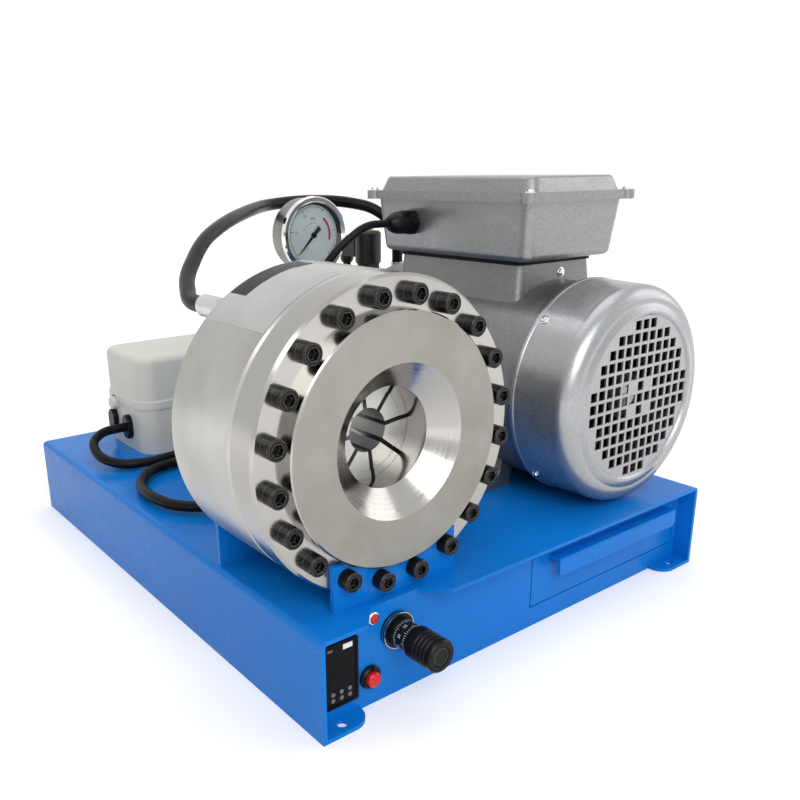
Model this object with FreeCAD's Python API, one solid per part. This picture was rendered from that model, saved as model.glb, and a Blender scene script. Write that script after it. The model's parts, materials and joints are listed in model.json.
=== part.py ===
import FreeCAD, Part
import math
import os

V = FreeCAD.Vector

# Hose crimping machine: a steel base with oil tank and drawer carries a round crimping head,
# an electric motor with gear pump, a pressure gauge and a starter box.
# Origin at the centre of the floor hole pattern, X to the right, Y to the back, Z up, in mm.

# Clearances and fits
RUN_GAP = 0.3          # between curved faces that pass each other
SHAFT_FIT = 0.05       # radial play of a shaft or seal lip
THREAD_GAP = 0.3       # radial play left for a thread that is not cut
BOLT_GAP = 0.6         # radial play of a screw in a clearance hole
PANEL_GAP = 1.5        # gap round the drawer front

# Base box, folded from sheet
BASE_W = 540.0
BASE_D = 672.0
BASE_H = 97.0
SHEET = 4.0
BEND_IN_R = 2.0        # inner bend radius
BEND_R = SHEET + BEND_IN_R
LIP = 21.0             # how far the front and back panels stand behind the lips
FLANGE_W = 30.0        # bottom flange along each side
EAR_W = 53.0
EAR_R = 18.0
FLOOR_HOLE_R = 5.0
FLOOR_HOLE_IN_X = 27.0         # hole centres from the side edges
FLOOR_HOLE_IN_Y = 11.0         # hole centres from the front and back edges
FLOOR_HOLE_DX = BASE_W - 2 * FLOOR_HOLE_IN_X
FLOOR_HOLE_DY = BASE_D - 2 * FLOOR_HOLE_IN_Y
LEFT_X = -BASE_W / 2
RIGHT_X = BASE_W / 2
NOTCH_IN = (48.0, 67.0, 120.0, 145.0)   # cut in the front lip over the dial, from the left edge
NOTCH_X = tuple(LEFT_X + inset for inset in NOTCH_IN)

# Oil tank under the top plate
TANK_SIDE = 20.0       # from the base's side faces
TANK_W = BASE_W - 2 * TANK_SIDE
TANK_Y0 = 20.0
TANK_Y1 = 300.0
TANK_WALL = 3.0

# Filler cap with breather
CAP_X = RIGHT_X - 100.0
CAP_Y = 262.0
CAP_R = 23.0
CAP_H = 38.0
CAP_NECK_R = 13.0

# Crimping head
HEAD_X = LEFT_X + 105.0
HEAD_R = 139.0
HEAD_LIFT = 0.5        # the head hangs this far above the top plate
HEAD_Z = BASE_H + HEAD_LIFT + HEAD_R
HEAD_JOINT_Y = -266.0  # face between cover and cylinder
COVER_T = 34.0
COVER_STEP = 12.0      # raised disc on the cover
COVER_DISC_R = 111.0
MOUTH_R = 68.0
THROAT_R = 45.0
MOUTH_DEPTH = 20.0
CYL_LEN = 101.0
CYL_WALL = 15.0        # rear wall
BORE_R = 112.0
GLAND_BORE_R = 106.0   # narrower front stretch of the bore
GLAND_LEN = 28.0
EDGE_C = 2.5           # bright chamfer round the head's edges
SCREW_N = 20
SCREW_FIRST = 9.0      # angle of the first screw from +X towards +Z
SCREW_PCD = 246.6
SCREW_R = 6.0
SCREW_HEAD_R = 9.0
SCREW_HEAD_H = 12.0
SCREW_SOCKET = 10.0    # across flats
SCREW_SOCKET_H = 6.0
SCREW_LEN = 60.0
REAR_SCREW_LEN = 30.0
PORT_R = 6.0
CLOSE_PORT = (60.0, BORE_R - 24.0)       # angle and radius of the port of the rear chamber
OPEN_PORT = (126.0, SCREW_PCD / 2)       # angle and radius of the port of the front chamber

# Dies and piston
DIE_N = 8
DIE_TURN = 29.5        # angle of the first die's middle
DIE_GAP = 4.2
DIE_LEN = 50.7
DIE_INNER_R = 20.0
DIE_SHOE_R = 38.0      # boundary between the jaw insert and its shoe
DIE_FRONT_R = 95.0
CONE_ANGLE = 30.0
CONE_GAP = 0.6         # keeps the cone clear while the dies close
DIE_FACE_GAP = 0.3
JAW_STEP = 1.0         # the jaw stands behind the shoe's front face
CLOSE_TRAVEL = 4.0     # radial die travel towards the hose from rest
OPEN_TRAVEL = 8.0      # radial die travel away from the hose from rest
PISTON_FRONT_Y = -258.5
PISTON_SKIRT_GAP = RUN_GAP
PISTON_STEP_Y = -215.0
PISTON_WEB_Y = -207.0
PISTON_REAR_Y = -195.0
TAIL_R = 61.7
TAIL_BORE_R = 52.0
TAIL_END_Y = -150.0
SEAL_W = 6.0
SEAL_DEPTH = 4.0

# Brackets that hold the head
BRACKET_T = 5.0
FRONT_BRACKET_HALF = 69.5
FRONT_BRACKET_TOP = 43.0       # above the top plate
REAR_BRACKET_HALF = 100.0
REAR_BRACKET_TOP = 73.0
FRONT_BRACKET_SCREWS = (243.0, 261.0, 279.0, 297.0)
REAR_BRACKET_SCREWS = (225.0, 243.0, 297.0, 315.0)
BRACKET_ARC_GAP = 1.5

# Diameter dial on the front panel
DIAL_X = LEFT_X + 95.0
DIAL_Z = 66.5
DIAL_LEN = 60.0
DIAL_COLLAR_R = 17.0
DIAL_COLLAR_T = 6.0
DIAL_SLEEVE_R = 13.0
DIAL_GRIP_R = 15.0
DIAL_GRIP_LEN = 32.0
DIAL_GRIP_FLOOR = 16.0
DIAL_STUB_R = 9.0
DIAL_STUB_LEN = 18.0
DIAL_NUT_R = 14.0
SPINDLE_R = 4.0
DIAL_TRAVEL = 5.0              # either way from rest
SWITCH_Y = -262.0
SWITCH_SIZE = (26.0, 24.0, 34.0)
SWITCH_TIP = 6.0
TRIP_GAP = 0.6
TRIP_R = 4.0
ARM_T = 8.0
ARM_RING_R = 70.0
ARM_W = 20.0
ARM_FOOT_Z = 56.0

# Display, lamp and push button
DISPLAY_W = 36.0
DISPLAY_X0 = LEFT_X + 15.0
DISPLAY_X1 = DISPLAY_X0 + DISPLAY_W
DISPLAY_Z0 = 15.4
DISPLAY_Z1 = 77.5
DISPLAY_PROUD = 3.0
DISPLAY_DEPTH = 30.0
DISPLAY_RIM = 3.0
LAMP_X = LEFT_X + 69.2
LAMP_R = 6.0
LAMP_Z = BASE_H - SHEET - LAMP_R - 1.0
BUTTON_X = LEFT_X + 65.0
BUTTON_Z = 29.6
BUTTON_R = 11.0
BUTTON_CAP_R = 7.0
BUTTON_PROUD = 5.0
BUTTON_CAP_PROUD = 9.0
BUTTON_TRAVEL = 3.0
BUTTON_BODY_R = 9.5
BUTTON_DEPTH = 30.0

# Drawer
DRAWER_W = 253.0
DRAWER_X1 = RIGHT_X - 11.5
DRAWER_X0 = DRAWER_X1 - DRAWER_W
DRAWER_Z0 = 22.0
DRAWER_Z1 = 78.0
DRAWER_LEN = 220.0
DRAWER_SHEET = 1.5
DRAWER_FRONT_T = 3.0
HANDLE_X0 = DRAWER_X0 + 26.5
HANDLE_X1 = DRAWER_X1 - 20.5
HANDLE_Z0 = 55.0
HANDLE_Z1 = 74.5
HANDLE_PROUD = 15.0
HANDLE_R = 6.0
RUNNER_SHELF = 10.0
RUNNER_T = 2.0

# Motor
MOTOR_X = RIGHT_X - 104.5
MOTOR_LIFT = 7.6               # the frame's lowest line above the top plate
FRAME_R = 114.0
MOTOR_Z = BASE_H + MOTOR_LIFT + FRAME_R
FRAME_BORE_R = 64.0
FRAME_Y0 = -248.0
FRAME_Y1 = 60.0
SHIELD_T = 10.0
SHAFT_R = 14.0
ROTOR_R = 62.0
ROTOR_Y0 = -150.0
ROTOR_Y1 = -30.0
SHAFT_Y0 = -300.0
SHAFT_Y1 = 86.0
FOOT_HALF = 104.0
FOOT_Y0 = -190.0
FOOT_Y1 = -10.0
FOOT_T = 12.0
FOOT_HOLE_DX = 180.0
FOOT_HOLE_DY = 140.0
FOOT_HOLE_R = 6.0
FOOT_W = 45.0
FOOT_PAD = 24.0
FOOT_RELIEF = 44.0
FOOT_ROOT = 66.0       # the feet's roots reach this near to the axis
BOLT_R = 5.0
BOLT_HEAD_AF = 17.0
BOLT_HEAD_H = 7.0
BOLT_NUT_H = 8.0
BOLT_END = 12.0         # thread end below the underside of the top plate

# Fan cowl and fan
COWL_LIFT = 6.0        # the cowl's outside over the frame
COWL_R = FRAME_R + COWL_LIFT
COWL_SHOULDER_R = COWL_R - 1.3
COWL_RIM_Y = -241.5
COWL_SHOULDER_Y = -295.0
COWL_FACE_Y = -317.4
COWL_FACE_R = COWL_R - 28.0
COWL_RIM_H = 2.0
COWL_T = 2.0
COWL_LUGS = 4
GRILLE_HOLE = 9.8
GRILLE_PITCH = 13.2
GRILLE_ROWS = (3, 7, 9, 11, 11, 13, 13, 13, 11, 11, 9, 7, 3)
FAN_R = 100.0
FAN_HUB_R = 26.0
FAN_BLADES = 8
FAN_Y0 = -300.0
FAN_Y1 = -262.0
FAN_PLATE_T = 3.0
FAN_BLADE_T = 3.0

# Terminal box
BOX_Y0 = -220.0
BOX_Y1 = 32.0
BOX_HALF_TOP = 80.5
BOX_HALF_LOW = 75.5
BOX_DRAFT_Y = 7.0
BOX_WALL = 4.0
BOX_CORNER_R = 14.0
BOX_FLANGE_T = 5.0
BOX_FLANGE_PROUD = 5.0
GASKET_T = 5.0
NECK_H = 19.4          # neck above the frame's top line
NECK_ROOT = 36.0       # how deep the neck reaches into the frame
NECK_INSET = 14.0
BOX_Z0 = MOTOR_Z + FRAME_R + NECK_H + GASKET_T
BOX_H = 67.0
BOX_Z1 = BOX_Z0 + BOX_H
LID_H = 21.0
LID_FLANGE_T = 5.0
LID_LUG_R = 9.0
GLAND_Y = -35.0
GLAND_Z = BOX_Z0 + 36.0
GLAND_HEX_AF = 27.0
GLAND_HEX_T = 10.0

# Pump set
BELL_Y1 = 122.0
PUMP_Y1 = 200.0
PUMP_HALF_X = 38.0
PUMP_HALF_Z = 52.0
PUMP_FLANGE_T = 12.0
COUPLING_R = 28.0
COUPLING_LEN = 32.0
PUMP_SHAFT_R = 9.0
BLOCK_X0 = MOTOR_X - 105.5
BLOCK_X1 = MOTOR_X + 49.5
BLOCK_Y0 = 140.0
BLOCK_Y1 = 200.0
BLOCK_H = 42.0
VALVE_X = MOTOR_X + 16.5
VALVE_HEX_T = 10.0
VALVE_COIL_R = 19.0
VALVE_COIL_H = 46.0
VALVE_PLUG_HALF = 13.0
VALVE_PLUG_Y = 52.0
VALVE_PLUG_LIFT = 7.4
SUCTION_R = 10.0
SUCTION_BEND = 30.0

# Pressure gauge
GAUGE_X = BLOCK_X0 + 19.0
GAUGE_LIFT = 55.4      # gauge centre above the valve block
BLOCK_Z0 = MOTOR_Z + PUMP_HALF_Z
GAUGE_Z = BLOCK_Z0 + BLOCK_H + GAUGE_LIFT
GAUGE_R = 52.0
GAUGE_Y0 = 155.0
GAUGE_Y1 = 192.0
GAUGE_CASE_R = 49.5
GAUGE_DIAL_R = 44.0
GAUGE_BEZEL_D = 7.0
GAUGE_WELL = 8.0
GAUGE_STEM_R = 7.0
GAUGE_THREAD = 10.0
NEEDLE_LEN = 34.0
NEEDLE_TAIL = 14.0
NEEDLE_REST = 225.0    # needle direction at no pressure, from +X towards +Z

# Starter box
STARTER_W = 180.0
STARTER_X0 = LEFT_X + 86.0
STARTER_X1 = STARTER_X0 + STARTER_W
STARTER_Y0 = 181.0
STARTER_Y1 = 306.0
STARTER_SEAM_Z = BASE_H + 61.0
STARTER_TOP_Z = BASE_H + 130.0
STARTER_R = 24.0
STARTER_WALL = 3.0
STARTER_RIM = 2.0
STARTER_RIM_H = 11.0
STARTER_SCREW_Y = 270.0
STARTER_SCREW_Z = STARTER_SEAM_Z - 5.0
STARTER_SCREW_R = 9.0
GROMMET_W = 22.0
GROMMET_H = 33.0
GROMMET_T = 7.0
GROMMET_YZ = ((277.0, BASE_H + 29.5), (229.0, BASE_H + 31.0))
ENTRY_R = 12.0
MOTOR_ENTRY_X = STARTER_X0 + 122.0
ENTRY_Z = BASE_H + 28.0

# Cords and hoses: outer radius and the points of each route
CABLE_R = 6.0
MOTOR_CABLE_R = 4.5
HOSE_R = 8.0
HOSE_FERRULE_R = 10.5
PORT_DEPTH = 16.0
HEAD_FITTING_LEN = 48.0
BLOCK_FITTING_LEN = 26.0
FITTING_HEX_T = 12.0
FITTING_AF = 22.0
ELBOW_X = BLOCK_X1 + 25.0
ELBOW_Y = 172.0
ELBOW_H = 36.0
LEFT_PORT = (170.0, BLOCK_Z0 + 17.4)     # place of the return port on the block's left face
RIGHT_PORT_Z = BLOCK_Z0 + 13.4
FLOOR_ELBOW_REACH = 14.0
LOOP_ENDS = ((81.0, 112.0), (-1.0, -48.0))     # from the head's axis, and along Y
LOOP_LIFT = 9.0
GLAND_LEN_X = 35.0             # the gland stands this far out of the box
PRESSURE_START = (-72.5, 99.7)         # hose ends behind the head, from its axis
RETURN_START = (44.0, 76.2)
VALVE_CABLE_ROUTE = (
    (-191.0, 229.0, 128.0),
    (-222.0, 229.0, 128.0),
    (-245.0, 210.0, 122.0),
    (-249.0, 178.0, 111.0),
    (-232.0, 150.0, 105.0),
    (-198.0, 136.0, 105.5),
    (-144.0, 145.0, 105.0),
    (-84.0, 146.0, 106.0),
    (-22.0, 156.0, 105.0),
    (34.0, 192.0, 110.0),
    (78.0, 224.0, 136.0),
    (126.0, 236.0, 180.0),
    (164.0, 228.0, 228.0),
    (182.0, 222.0, 276.0),
    (182.0, 222.0, 320.0),
)
LOOP_CABLE_ROUTE = (
    (-84.0, 112.0, 106.0),
    (-126.0, 112.0, 106.0),
    (-172.0, 118.0, 105.0),
    (-214.0, 106.0, 106.0),
    (-243.0, 72.0, 105.0),
    (-250.0, 26.0, 106.0),
    (-240.0, -18.0, 105.0),
    (-208.0, -48.0, 106.0),
    (-166.0, -48.0, 106.0),
)
MOTOR_CABLE_ROUTE = (
    (50.0, -35.0, 393.0),
    (16.0, -35.0, 393.0),
    (-22.0, -27.0, 366.0),
    (-46.0, -9.0, 322.0),
    (-58.0, 14.0, 272.0),
    (-66.0, 46.0, 222.0),
    (-66.0, 84.0, 180.0),
    (-64.0, 116.0, 144.0),
    (-62.0, 146.0, 125.0),
    (-62.0, 174.0, 125.0),
)
PRESSURE_HOSE_ROUTE = (
    (-237.5, -117.0, 336.2),
    (-237.5, -85.0, 336.2),
    (-215.0, -35.0, 352.0),
    (-160.0, 30.0, 382.0),
    (-95.0, 90.0, 397.0),
    (-25.0, 160.0, 404.0),
    (40.0, 222.0, 408.0),
    (108.0, 232.0, 412.0),
    (168.0, 220.0, 410.0),
    (214.0, 196.0, 400.0),
    (240.0, 172.0, 370.0),
    (240.0, 172.0, 320.0),
)
RETURN_HOSE_ROUTE = (
    (-121.0, -117.0, 312.7),
    (-121.0, -62.0, 312.7),
    (-108.0, 0.0, 303.0),
    (-92.0, 62.0, 296.0),
    (-62.0, 122.0, 291.0),
    (-20.0, 170.0, 288.0),
    (34.0, 170.0, 288.0),
)


# General helpers

def whole(shape):
    """Give the shape outward faces."""
    if shape.Volume < 0:
        shape.reverse()
    return shape


def box(x0, x1, y0, y1, z0, z1):
    return Part.makeBox(x1 - x0, y1 - y0, z1 - z0, V(x0, y0, z0))


def rod_x(y, z, r, x0, x1):
    return Part.makeCylinder(r, x1 - x0, V(x0, y, z), V(1, 0, 0))


def rod_y(x, z, r, y0, y1):
    return Part.makeCylinder(r, y1 - y0, V(x, y0, z), V(0, 1, 0))


def rod_z(x, y, r, z0, z1):
    return Part.makeCylinder(r, z1 - z0, V(x, y, z0), V(0, 0, 1))


def pipe_y(x, z, r_out, r_in, y0, y1):
    return rod_y(x, z, r_out, y0, y1).cut(rod_y(x, z, r_in, y0 - 1, y1 + 1))


def turned(axis, centre, outline):
    """Turn a closed outline of (radius, station); four numbers are an arc by way of a point."""
    a, b = centre
    spot = {
        "x": lambda r, t: V(t, a, b + r),
        "y": lambda r, t: V(a + r, t, b),
        "z": lambda r, t: V(a + r, b, t),
    }[axis]
    base = {"x": V(0, a, b), "y": V(a, 0, b), "z": V(a, b, 0)}[axis]
    line = {"x": V(1, 0, 0), "y": V(0, 1, 0), "z": V(0, 0, 1)}[axis]
    edges = []
    here = outline[0]
    for step in list(outline[1:]) + [outline[0]]:
        start = spot(*here)
        end = spot(*step[-2:])
        if start.distanceToPoint(end) > 1e-6:
            if len(step) == 4:
                edges.append(Part.Arc(start, spot(*step[:2]), end).toShape())
            else:
                edges.append(Part.LineSegment(start, end).toShape())
        here = step[-2:]
    return whole(Part.Face(Part.Wire(edges)).revolve(base, line, 360))


def prism(points, push):
    """Extrude a flat polygon by a vector."""
    corners = [V(*p) for p in points]
    return whole(Part.Face(Part.makePolygon(corners + corners[:1])).extrude(V(*push)))


def hexagon_rod(axis, centre, across, t0, t1):
    """Six-sided rod along an axis."""
    a, b = centre
    radius = across / math.sqrt(3)
    turns = [math.radians(60 * k) for k in range(6)]
    flat = [(radius * math.cos(t), radius * math.sin(t)) for t in turns]
    if axis == "x":
        return prism([(t0, a + p, b + q) for p, q in flat], (t1 - t0, 0, 0))
    if axis == "y":
        return prism([(a + p, t0, b + q) for p, q in flat], (0, t1 - t0, 0))
    return prism([(a + p, b + q, t0) for p, q in flat], (0, 0, t1 - t0))


def round_edges(solid, radius, axis, where=None):
    """Fillet the straight edges along one axis whose middle passes the test."""
    line = {"x": V(1, 0, 0), "y": V(0, 1, 0), "z": V(0, 0, 1)}[axis]
    picked = []
    for edge in solid.Edges:
        if edge.Curve.TypeId != "Part::GeomLine":
            continue
        span = edge.Vertexes[-1].Point - edge.Vertexes[0].Point
        if span.Length < 1e-6 or abs(abs(span.dot(line)) / span.Length - 1) > 1e-4:
            continue
        if where is None or where(edge.CenterOfMass):
            picked.append(edge)
    return solid.makeFillet(radius, picked)


def rounded_block(x0, x1, y0, y1, z0, z1, r):
    """Block with rounded upright edges."""
    return round_edges(box(x0, x1, y0, y1, z0, z1), r, "z")


def rounded_ring(x0, x1, y0, y1, z, r):
    """Wire of a level rectangle with rounded corners."""
    block = rounded_block(x0, x1, y0, y1, z, z + 1, r)
    low = [f for f in block.Faces if abs(f.CenterOfMass.z - z) < 1e-6]
    return low[0].OuterWire


def drafted(low, high):
    """Block between two rounded rectangles (x0, x1, y0, y1, z, r)."""
    return whole(Part.makeLoft([rounded_ring(*low), rounded_ring(*high)], True, True))


def group(parts):
    return Part.makeCompound(parts)


def led(points, start, end, hold, settle):
    """Shift a drawn route to its two ends; points up to hold go with the start, from settle with the end."""
    first = V(*start) - V(*points[0])
    last = V(*end) - V(*points[-1])
    shares = [min(1, max(0, (k - hold) / (settle - hold))) for k in range(len(points))]
    return [V(*p) + first * (1 - share) + last * share for p, share in zip(points, shares)]


def about_head(shape, angle):
    """Turn a copy about the head's axis, angles counted from +X towards +Z."""
    turned_copy = shape.copy()
    turned_copy.rotate(V(HEAD_X, 0, HEAD_Z), V(0, -1, 0), angle)
    return turned_copy


def head_spot(angle, radius):
    turn = math.radians(angle)
    return HEAD_X + radius * math.cos(turn), HEAD_Z + radius * math.sin(turn)


def route_tube(name, points, radius):
    """Tube along straight runs that are joined by tangent arcs."""
    spots = [V(*p) for p in points]
    runs = [(b - a).Length for a, b in zip(spots, spots[1:])]
    edges = []
    here = spots[0]
    radii = []
    for k in range(1, len(spots) - 1):
        back = (spots[k - 1] - spots[k]).normalize()
        ahead = (spots[k + 1] - spots[k]).normalize()
        turn = math.pi - back.getAngle(ahead)
        trim = 0.45 * min(runs[k - 1], runs[k])
        bend = trim / math.tan(turn / 2)
        radii.append(bend)
        start = spots[k] + back * trim
        end = spots[k] + ahead * trim
        inward = (back + ahead).normalize()
        middle = spots[k] + inward * (bend / math.cos(turn / 2) - bend)
        edges.append(Part.LineSegment(here, start).toShape())
        edges.append(Part.Arc(start, middle, end).toShape())
        here = end
    edges.append(Part.LineSegment(here, spots[-1]).toShape())
    path = Part.Wire(edges)
    ring = Part.Wire([Part.makeCircle(radius, spots[0], spots[1] - spots[0])])
    tube = whole(path.makePipeShell([ring], True, False))
    ratio = tube.Volume / (math.pi * radius ** 2 * path.Length)
    print(name, "length", round(path.Length, 1), "smallest radius", round(min(radii), 1),
          "volume ratio", round(ratio, 4))
    return tube


# Base

PANEL_Y = BASE_D / 2 - LIP     # outer face of the front and back panels, either side
TOP_Z = BASE_H
UNDER_TOP = BASE_H - SHEET
FRONT_Y = -PANEL_Y


def base_shell():
    half_w = BASE_W / 2
    half_d = BASE_D / 2
    outer = round_edges(box(-half_w, half_w, -half_d, half_d, 0, BASE_H), BEND_R, "y",
                        lambda c: c.z > BASE_H - 1)
    inside = box(-half_w + SHEET, half_w - SHEET, -half_d - 1, half_d + 1, -1, UNDER_TOP)
    inside = round_edges(inside, BEND_R - SHEET, "y", lambda c: c.z > UNDER_TOP - 1)
    shell = outer.cut(inside)
    additions = []
    for side in (-1, 1):
        y_out = side * PANEL_Y
        y_in = side * (PANEL_Y - SHEET)
        y0, y1 = min(y_out, y_in), max(y_out, y_in)
        additions.append(box(-half_w + 1, half_w - 1, y0, y1, 0, UNDER_TOP + 1))
        x0, x1 = sorted((side * (half_w - 1), side * (half_w - FLANGE_W)))
        additions.append(box(x0, x1, -PANEL_Y, PANEL_Y, 0, SHEET))
        for end in (-1, 1):
            additions.append(floor_ear(side, end))
    shell = shell.multiFuse(additions).removeSplitter()
    return shell.cut(group(base_cuts()))


def floor_ear(side, end):
    """Ear with a mounting hole at a corner of the floor flange."""
    half_w = BASE_W / 2
    half_d = BASE_D / 2
    x0, x1 = sorted((side * (half_w - 1), side * (half_w - EAR_W)))
    y0, y1 = sorted((end * half_d, end * (PANEL_Y - SHEET)))
    ear = box(x0, x1, y0, y1, 0, SHEET)
    return round_edges(ear, EAR_R, "z",
                       lambda c: abs(c.x) < half_w - 2 and abs(c.y) > half_d - 1)


def base_cuts():
    """Holes and slots of the base sheet."""
    cuts = []
    for sx in (-1, 1):
        for sy in (-1, 1):
            cuts.append(rod_z(sx * FLOOR_HOLE_DX / 2, sy * FLOOR_HOLE_DY / 2, FLOOR_HOLE_R, -1, SHEET + 1))
            cuts.append(rod_z(MOTOR_X + sx * FOOT_HOLE_DX / 2, foot_middle() + sy * FOOT_HOLE_DY / 2,
                              BOLT_R + BOLT_GAP, UNDER_TOP - 1, TOP_Z + 1))
    notch = ((NOTCH_X[0], -BASE_D / 2 - 1), (NOTCH_X[0], -BASE_D / 2), (NOTCH_X[1], FRONT_Y),
             (NOTCH_X[2], FRONT_Y), (NOTCH_X[3], -BASE_D / 2), (NOTCH_X[3], -BASE_D / 2 - 1))
    cuts.append(prism([(x, y, UNDER_TOP - 1) for x, y in notch], (0, 0, SHEET + 2)))
    through = (FRONT_Y - 1, FRONT_Y + SHEET + 1)
    cuts.append(box(DRAWER_X0, DRAWER_X1, *through, DRAWER_Z0, DRAWER_Z1))
    cuts.append(box(DISPLAY_X0 + DISPLAY_RIM, DISPLAY_X1 - DISPLAY_RIM, *through,
                    DISPLAY_Z0 + DISPLAY_RIM, DISPLAY_Z1 - DISPLAY_RIM))
    cuts.append(rod_y(LAMP_X, LAMP_Z, lamp_body_r() + RUN_GAP, *through))
    cuts.append(rod_y(BUTTON_X, BUTTON_Z, BUTTON_BODY_R + RUN_GAP, *through))
    cuts.append(rod_y(DIAL_X, DIAL_Z, DIAL_STUB_R + RUN_GAP, *through))
    slot_y0 = TAIL_END_Y - piston_forward() - 2
    slot_y1 = TAIL_END_Y + ARM_T + piston_back() + 2
    cuts.append(box(DIAL_X - ARM_W / 2 - 2, DIAL_X + ARM_W / 2 + 2, slot_y0, slot_y1,
                    UNDER_TOP - 1, TOP_Z + 1))
    cuts.append(rod_z(CAP_X, CAP_Y, CAP_NECK_R + RUN_GAP, UNDER_TOP - 1, TOP_Z + 1))
    cuts.append(rod_z(suction_x(), pump_port_y(), SUCTION_R + RUN_GAP, UNDER_TOP - 1, TOP_Z + 1))
    for x, y, z in loop_drops():
        cuts.append(rod_z(x, y, CABLE_R, UNDER_TOP - 1, TOP_Z + 1))
    return cuts


def oil_tank():
    half = TANK_W / 2
    tray = round_edges(box(-half, half, TANK_Y0, TANK_Y1, SHEET, UNDER_TOP), BEND_R, "z")
    room = round_edges(box(-half + TANK_WALL, half - TANK_WALL, TANK_Y0 + TANK_WALL,
                           TANK_Y1 - TANK_WALL, SHEET + TANK_WALL, UNDER_TOP + 1),
                       BEND_R - TANK_WALL, "z")
    return tray.cut(room)


def filler_breather():
    z0 = TOP_Z
    return turned("z", (CAP_X, CAP_Y), (
        (0, z0 - 14), (CAP_NECK_R, z0 - 14), (CAP_NECK_R, z0), (CAP_R - 3, z0), (CAP_R - 3, z0 + 8),
        (CAP_R, z0 + 10), (CAP_R, z0 + CAP_H - 6), (CAP_R - 1.5, z0 + CAP_H - 1.5, CAP_R - 6, z0 + CAP_H),
        (0, z0 + CAP_H)))


# Crimping head

COVER_FRONT_Y = HEAD_JOINT_Y - COVER_T
COVER_DISC_Y = COVER_FRONT_Y - COVER_STEP
CYL_REAR_Y = HEAD_JOINT_Y + CYL_LEN
WALL_Y = CYL_REAR_Y - CYL_WALL
DIE_Y0 = HEAD_JOINT_Y + DIE_FACE_GAP
DIE_Y1 = DIE_Y0 + DIE_LEN
TAN_CONE = math.tan(math.radians(CONE_ANGLE))


def piston_forward():
    return CLOSE_TRAVEL / TAN_CONE


def piston_back():
    return OPEN_TRAVEL / TAN_CONE


def cover_screw_angles():
    return [SCREW_FIRST + k * 360 / SCREW_N for k in range(SCREW_N)]


def head_cylinder():
    c = EDGE_C
    body = turned("y", (HEAD_X, HEAD_Z), (
        (GLAND_BORE_R, HEAD_JOINT_Y), (HEAD_R - c, HEAD_JOINT_Y), (HEAD_R, HEAD_JOINT_Y + c),
        (HEAD_R, CYL_REAR_Y - c), (HEAD_R - c, CYL_REAR_Y), (TAIL_R + RUN_GAP, CYL_REAR_Y),
        (TAIL_R + RUN_GAP, WALL_Y), (BORE_R, WALL_Y), (BORE_R, HEAD_JOINT_Y + GLAND_LEN),
        (GLAND_BORE_R, HEAD_JOINT_Y + GLAND_LEN)))
    cuts = [seal_groove(GLAND_BORE_R, gland_seal_y()), seal_groove(TAIL_R + RUN_GAP, rod_seal_y())]
    depth = SCREW_LEN - COVER_T + 3
    for angle in cover_screw_angles():
        x, z = head_spot(angle, SCREW_PCD / 2)
        cuts.append(rod_y(x, z, SCREW_R + THREAD_GAP, HEAD_JOINT_Y - 1, HEAD_JOINT_Y + depth))
    for angle in REAR_BRACKET_SCREWS:
        x, z = head_spot(angle, SCREW_PCD / 2)
        cuts.append(rod_y(x, z, SCREW_R + THREAD_GAP, CYL_REAR_Y - REAR_SCREW_LEN + 3, CYL_REAR_Y + 1))
    x, z = head_spot(*CLOSE_PORT)
    cuts.append(rod_y(x, z, PORT_R, WALL_Y - 1, CYL_REAR_Y + 1))
    x, z = head_spot(*OPEN_PORT)
    chamber_y = HEAD_JOINT_Y + GLAND_LEN + PORT_R + 2
    cuts.append(rod_y(x, z, PORT_R, chamber_y, CYL_REAR_Y + 1))
    inlet = Part.makeCylinder(PORT_R - 1, OPEN_PORT[1] - BORE_R + 2,
                              V(HEAD_X + BORE_R - 2, chamber_y + PORT_R, HEAD_Z), V(1, 0, 0))
    cuts.append(about_head(inlet, OPEN_PORT[0]))
    return body.cut(group(cuts))


def gland_seal_y():
    return HEAD_JOINT_Y + GLAND_LEN / 2


def rod_seal_y():
    return WALL_Y + CYL_WALL / 2


def seal_groove(bore_r, y):
    return pipe_y(HEAD_X, HEAD_Z, bore_r + SEAL_DEPTH, bore_r - 1, y - SEAL_W / 2, y + SEAL_W / 2)


def head_cover():
    c = EDGE_C
    body = turned("y", (HEAD_X, HEAD_Z), (
        (THROAT_R, HEAD_JOINT_Y), (HEAD_R - c, HEAD_JOINT_Y), (HEAD_R, HEAD_JOINT_Y - c),
        (HEAD_R, COVER_FRONT_Y + c), (HEAD_R - c, COVER_FRONT_Y), (COVER_DISC_R, COVER_FRONT_Y),
        (COVER_DISC_R, COVER_DISC_Y + 1.5), (COVER_DISC_R - 1.5, COVER_DISC_Y),
        (MOUTH_R, COVER_DISC_Y), (THROAT_R, COVER_DISC_Y + MOUTH_DEPTH)))
    cuts = []
    for angle in cover_screw_angles():
        x, z = head_spot(angle, SCREW_PCD / 2)
        cuts.append(rod_y(x, z, SCREW_R + BOLT_GAP, COVER_FRONT_Y - 1, HEAD_JOINT_Y + 1))
    return body.cut(group(cuts))


def socket_screw(x, z, seat_y, length, way):
    """Socket-head screw with its head on the seat and its shank along +Y (way 1) or -Y (way -1)."""
    r = SCREW_HEAD_R
    h = SCREW_HEAD_H
    screw = turned("y", (x, z), (
        (0, seat_y - way * h), (r - 1, seat_y - way * h), (r, seat_y - way * (h - 1)), (r, seat_y),
        (SCREW_R, seat_y), (SCREW_R, seat_y + way * (length - 1)), (SCREW_R - 1, seat_y + way * length),
        (0, seat_y + way * length)))
    t0, t1 = sorted((seat_y - way * (h + 1), seat_y - way * (h - SCREW_SOCKET_H)))
    return screw.cut(hexagon_rod("y", (x, z), SCREW_SOCKET, t0, t1))


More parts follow.
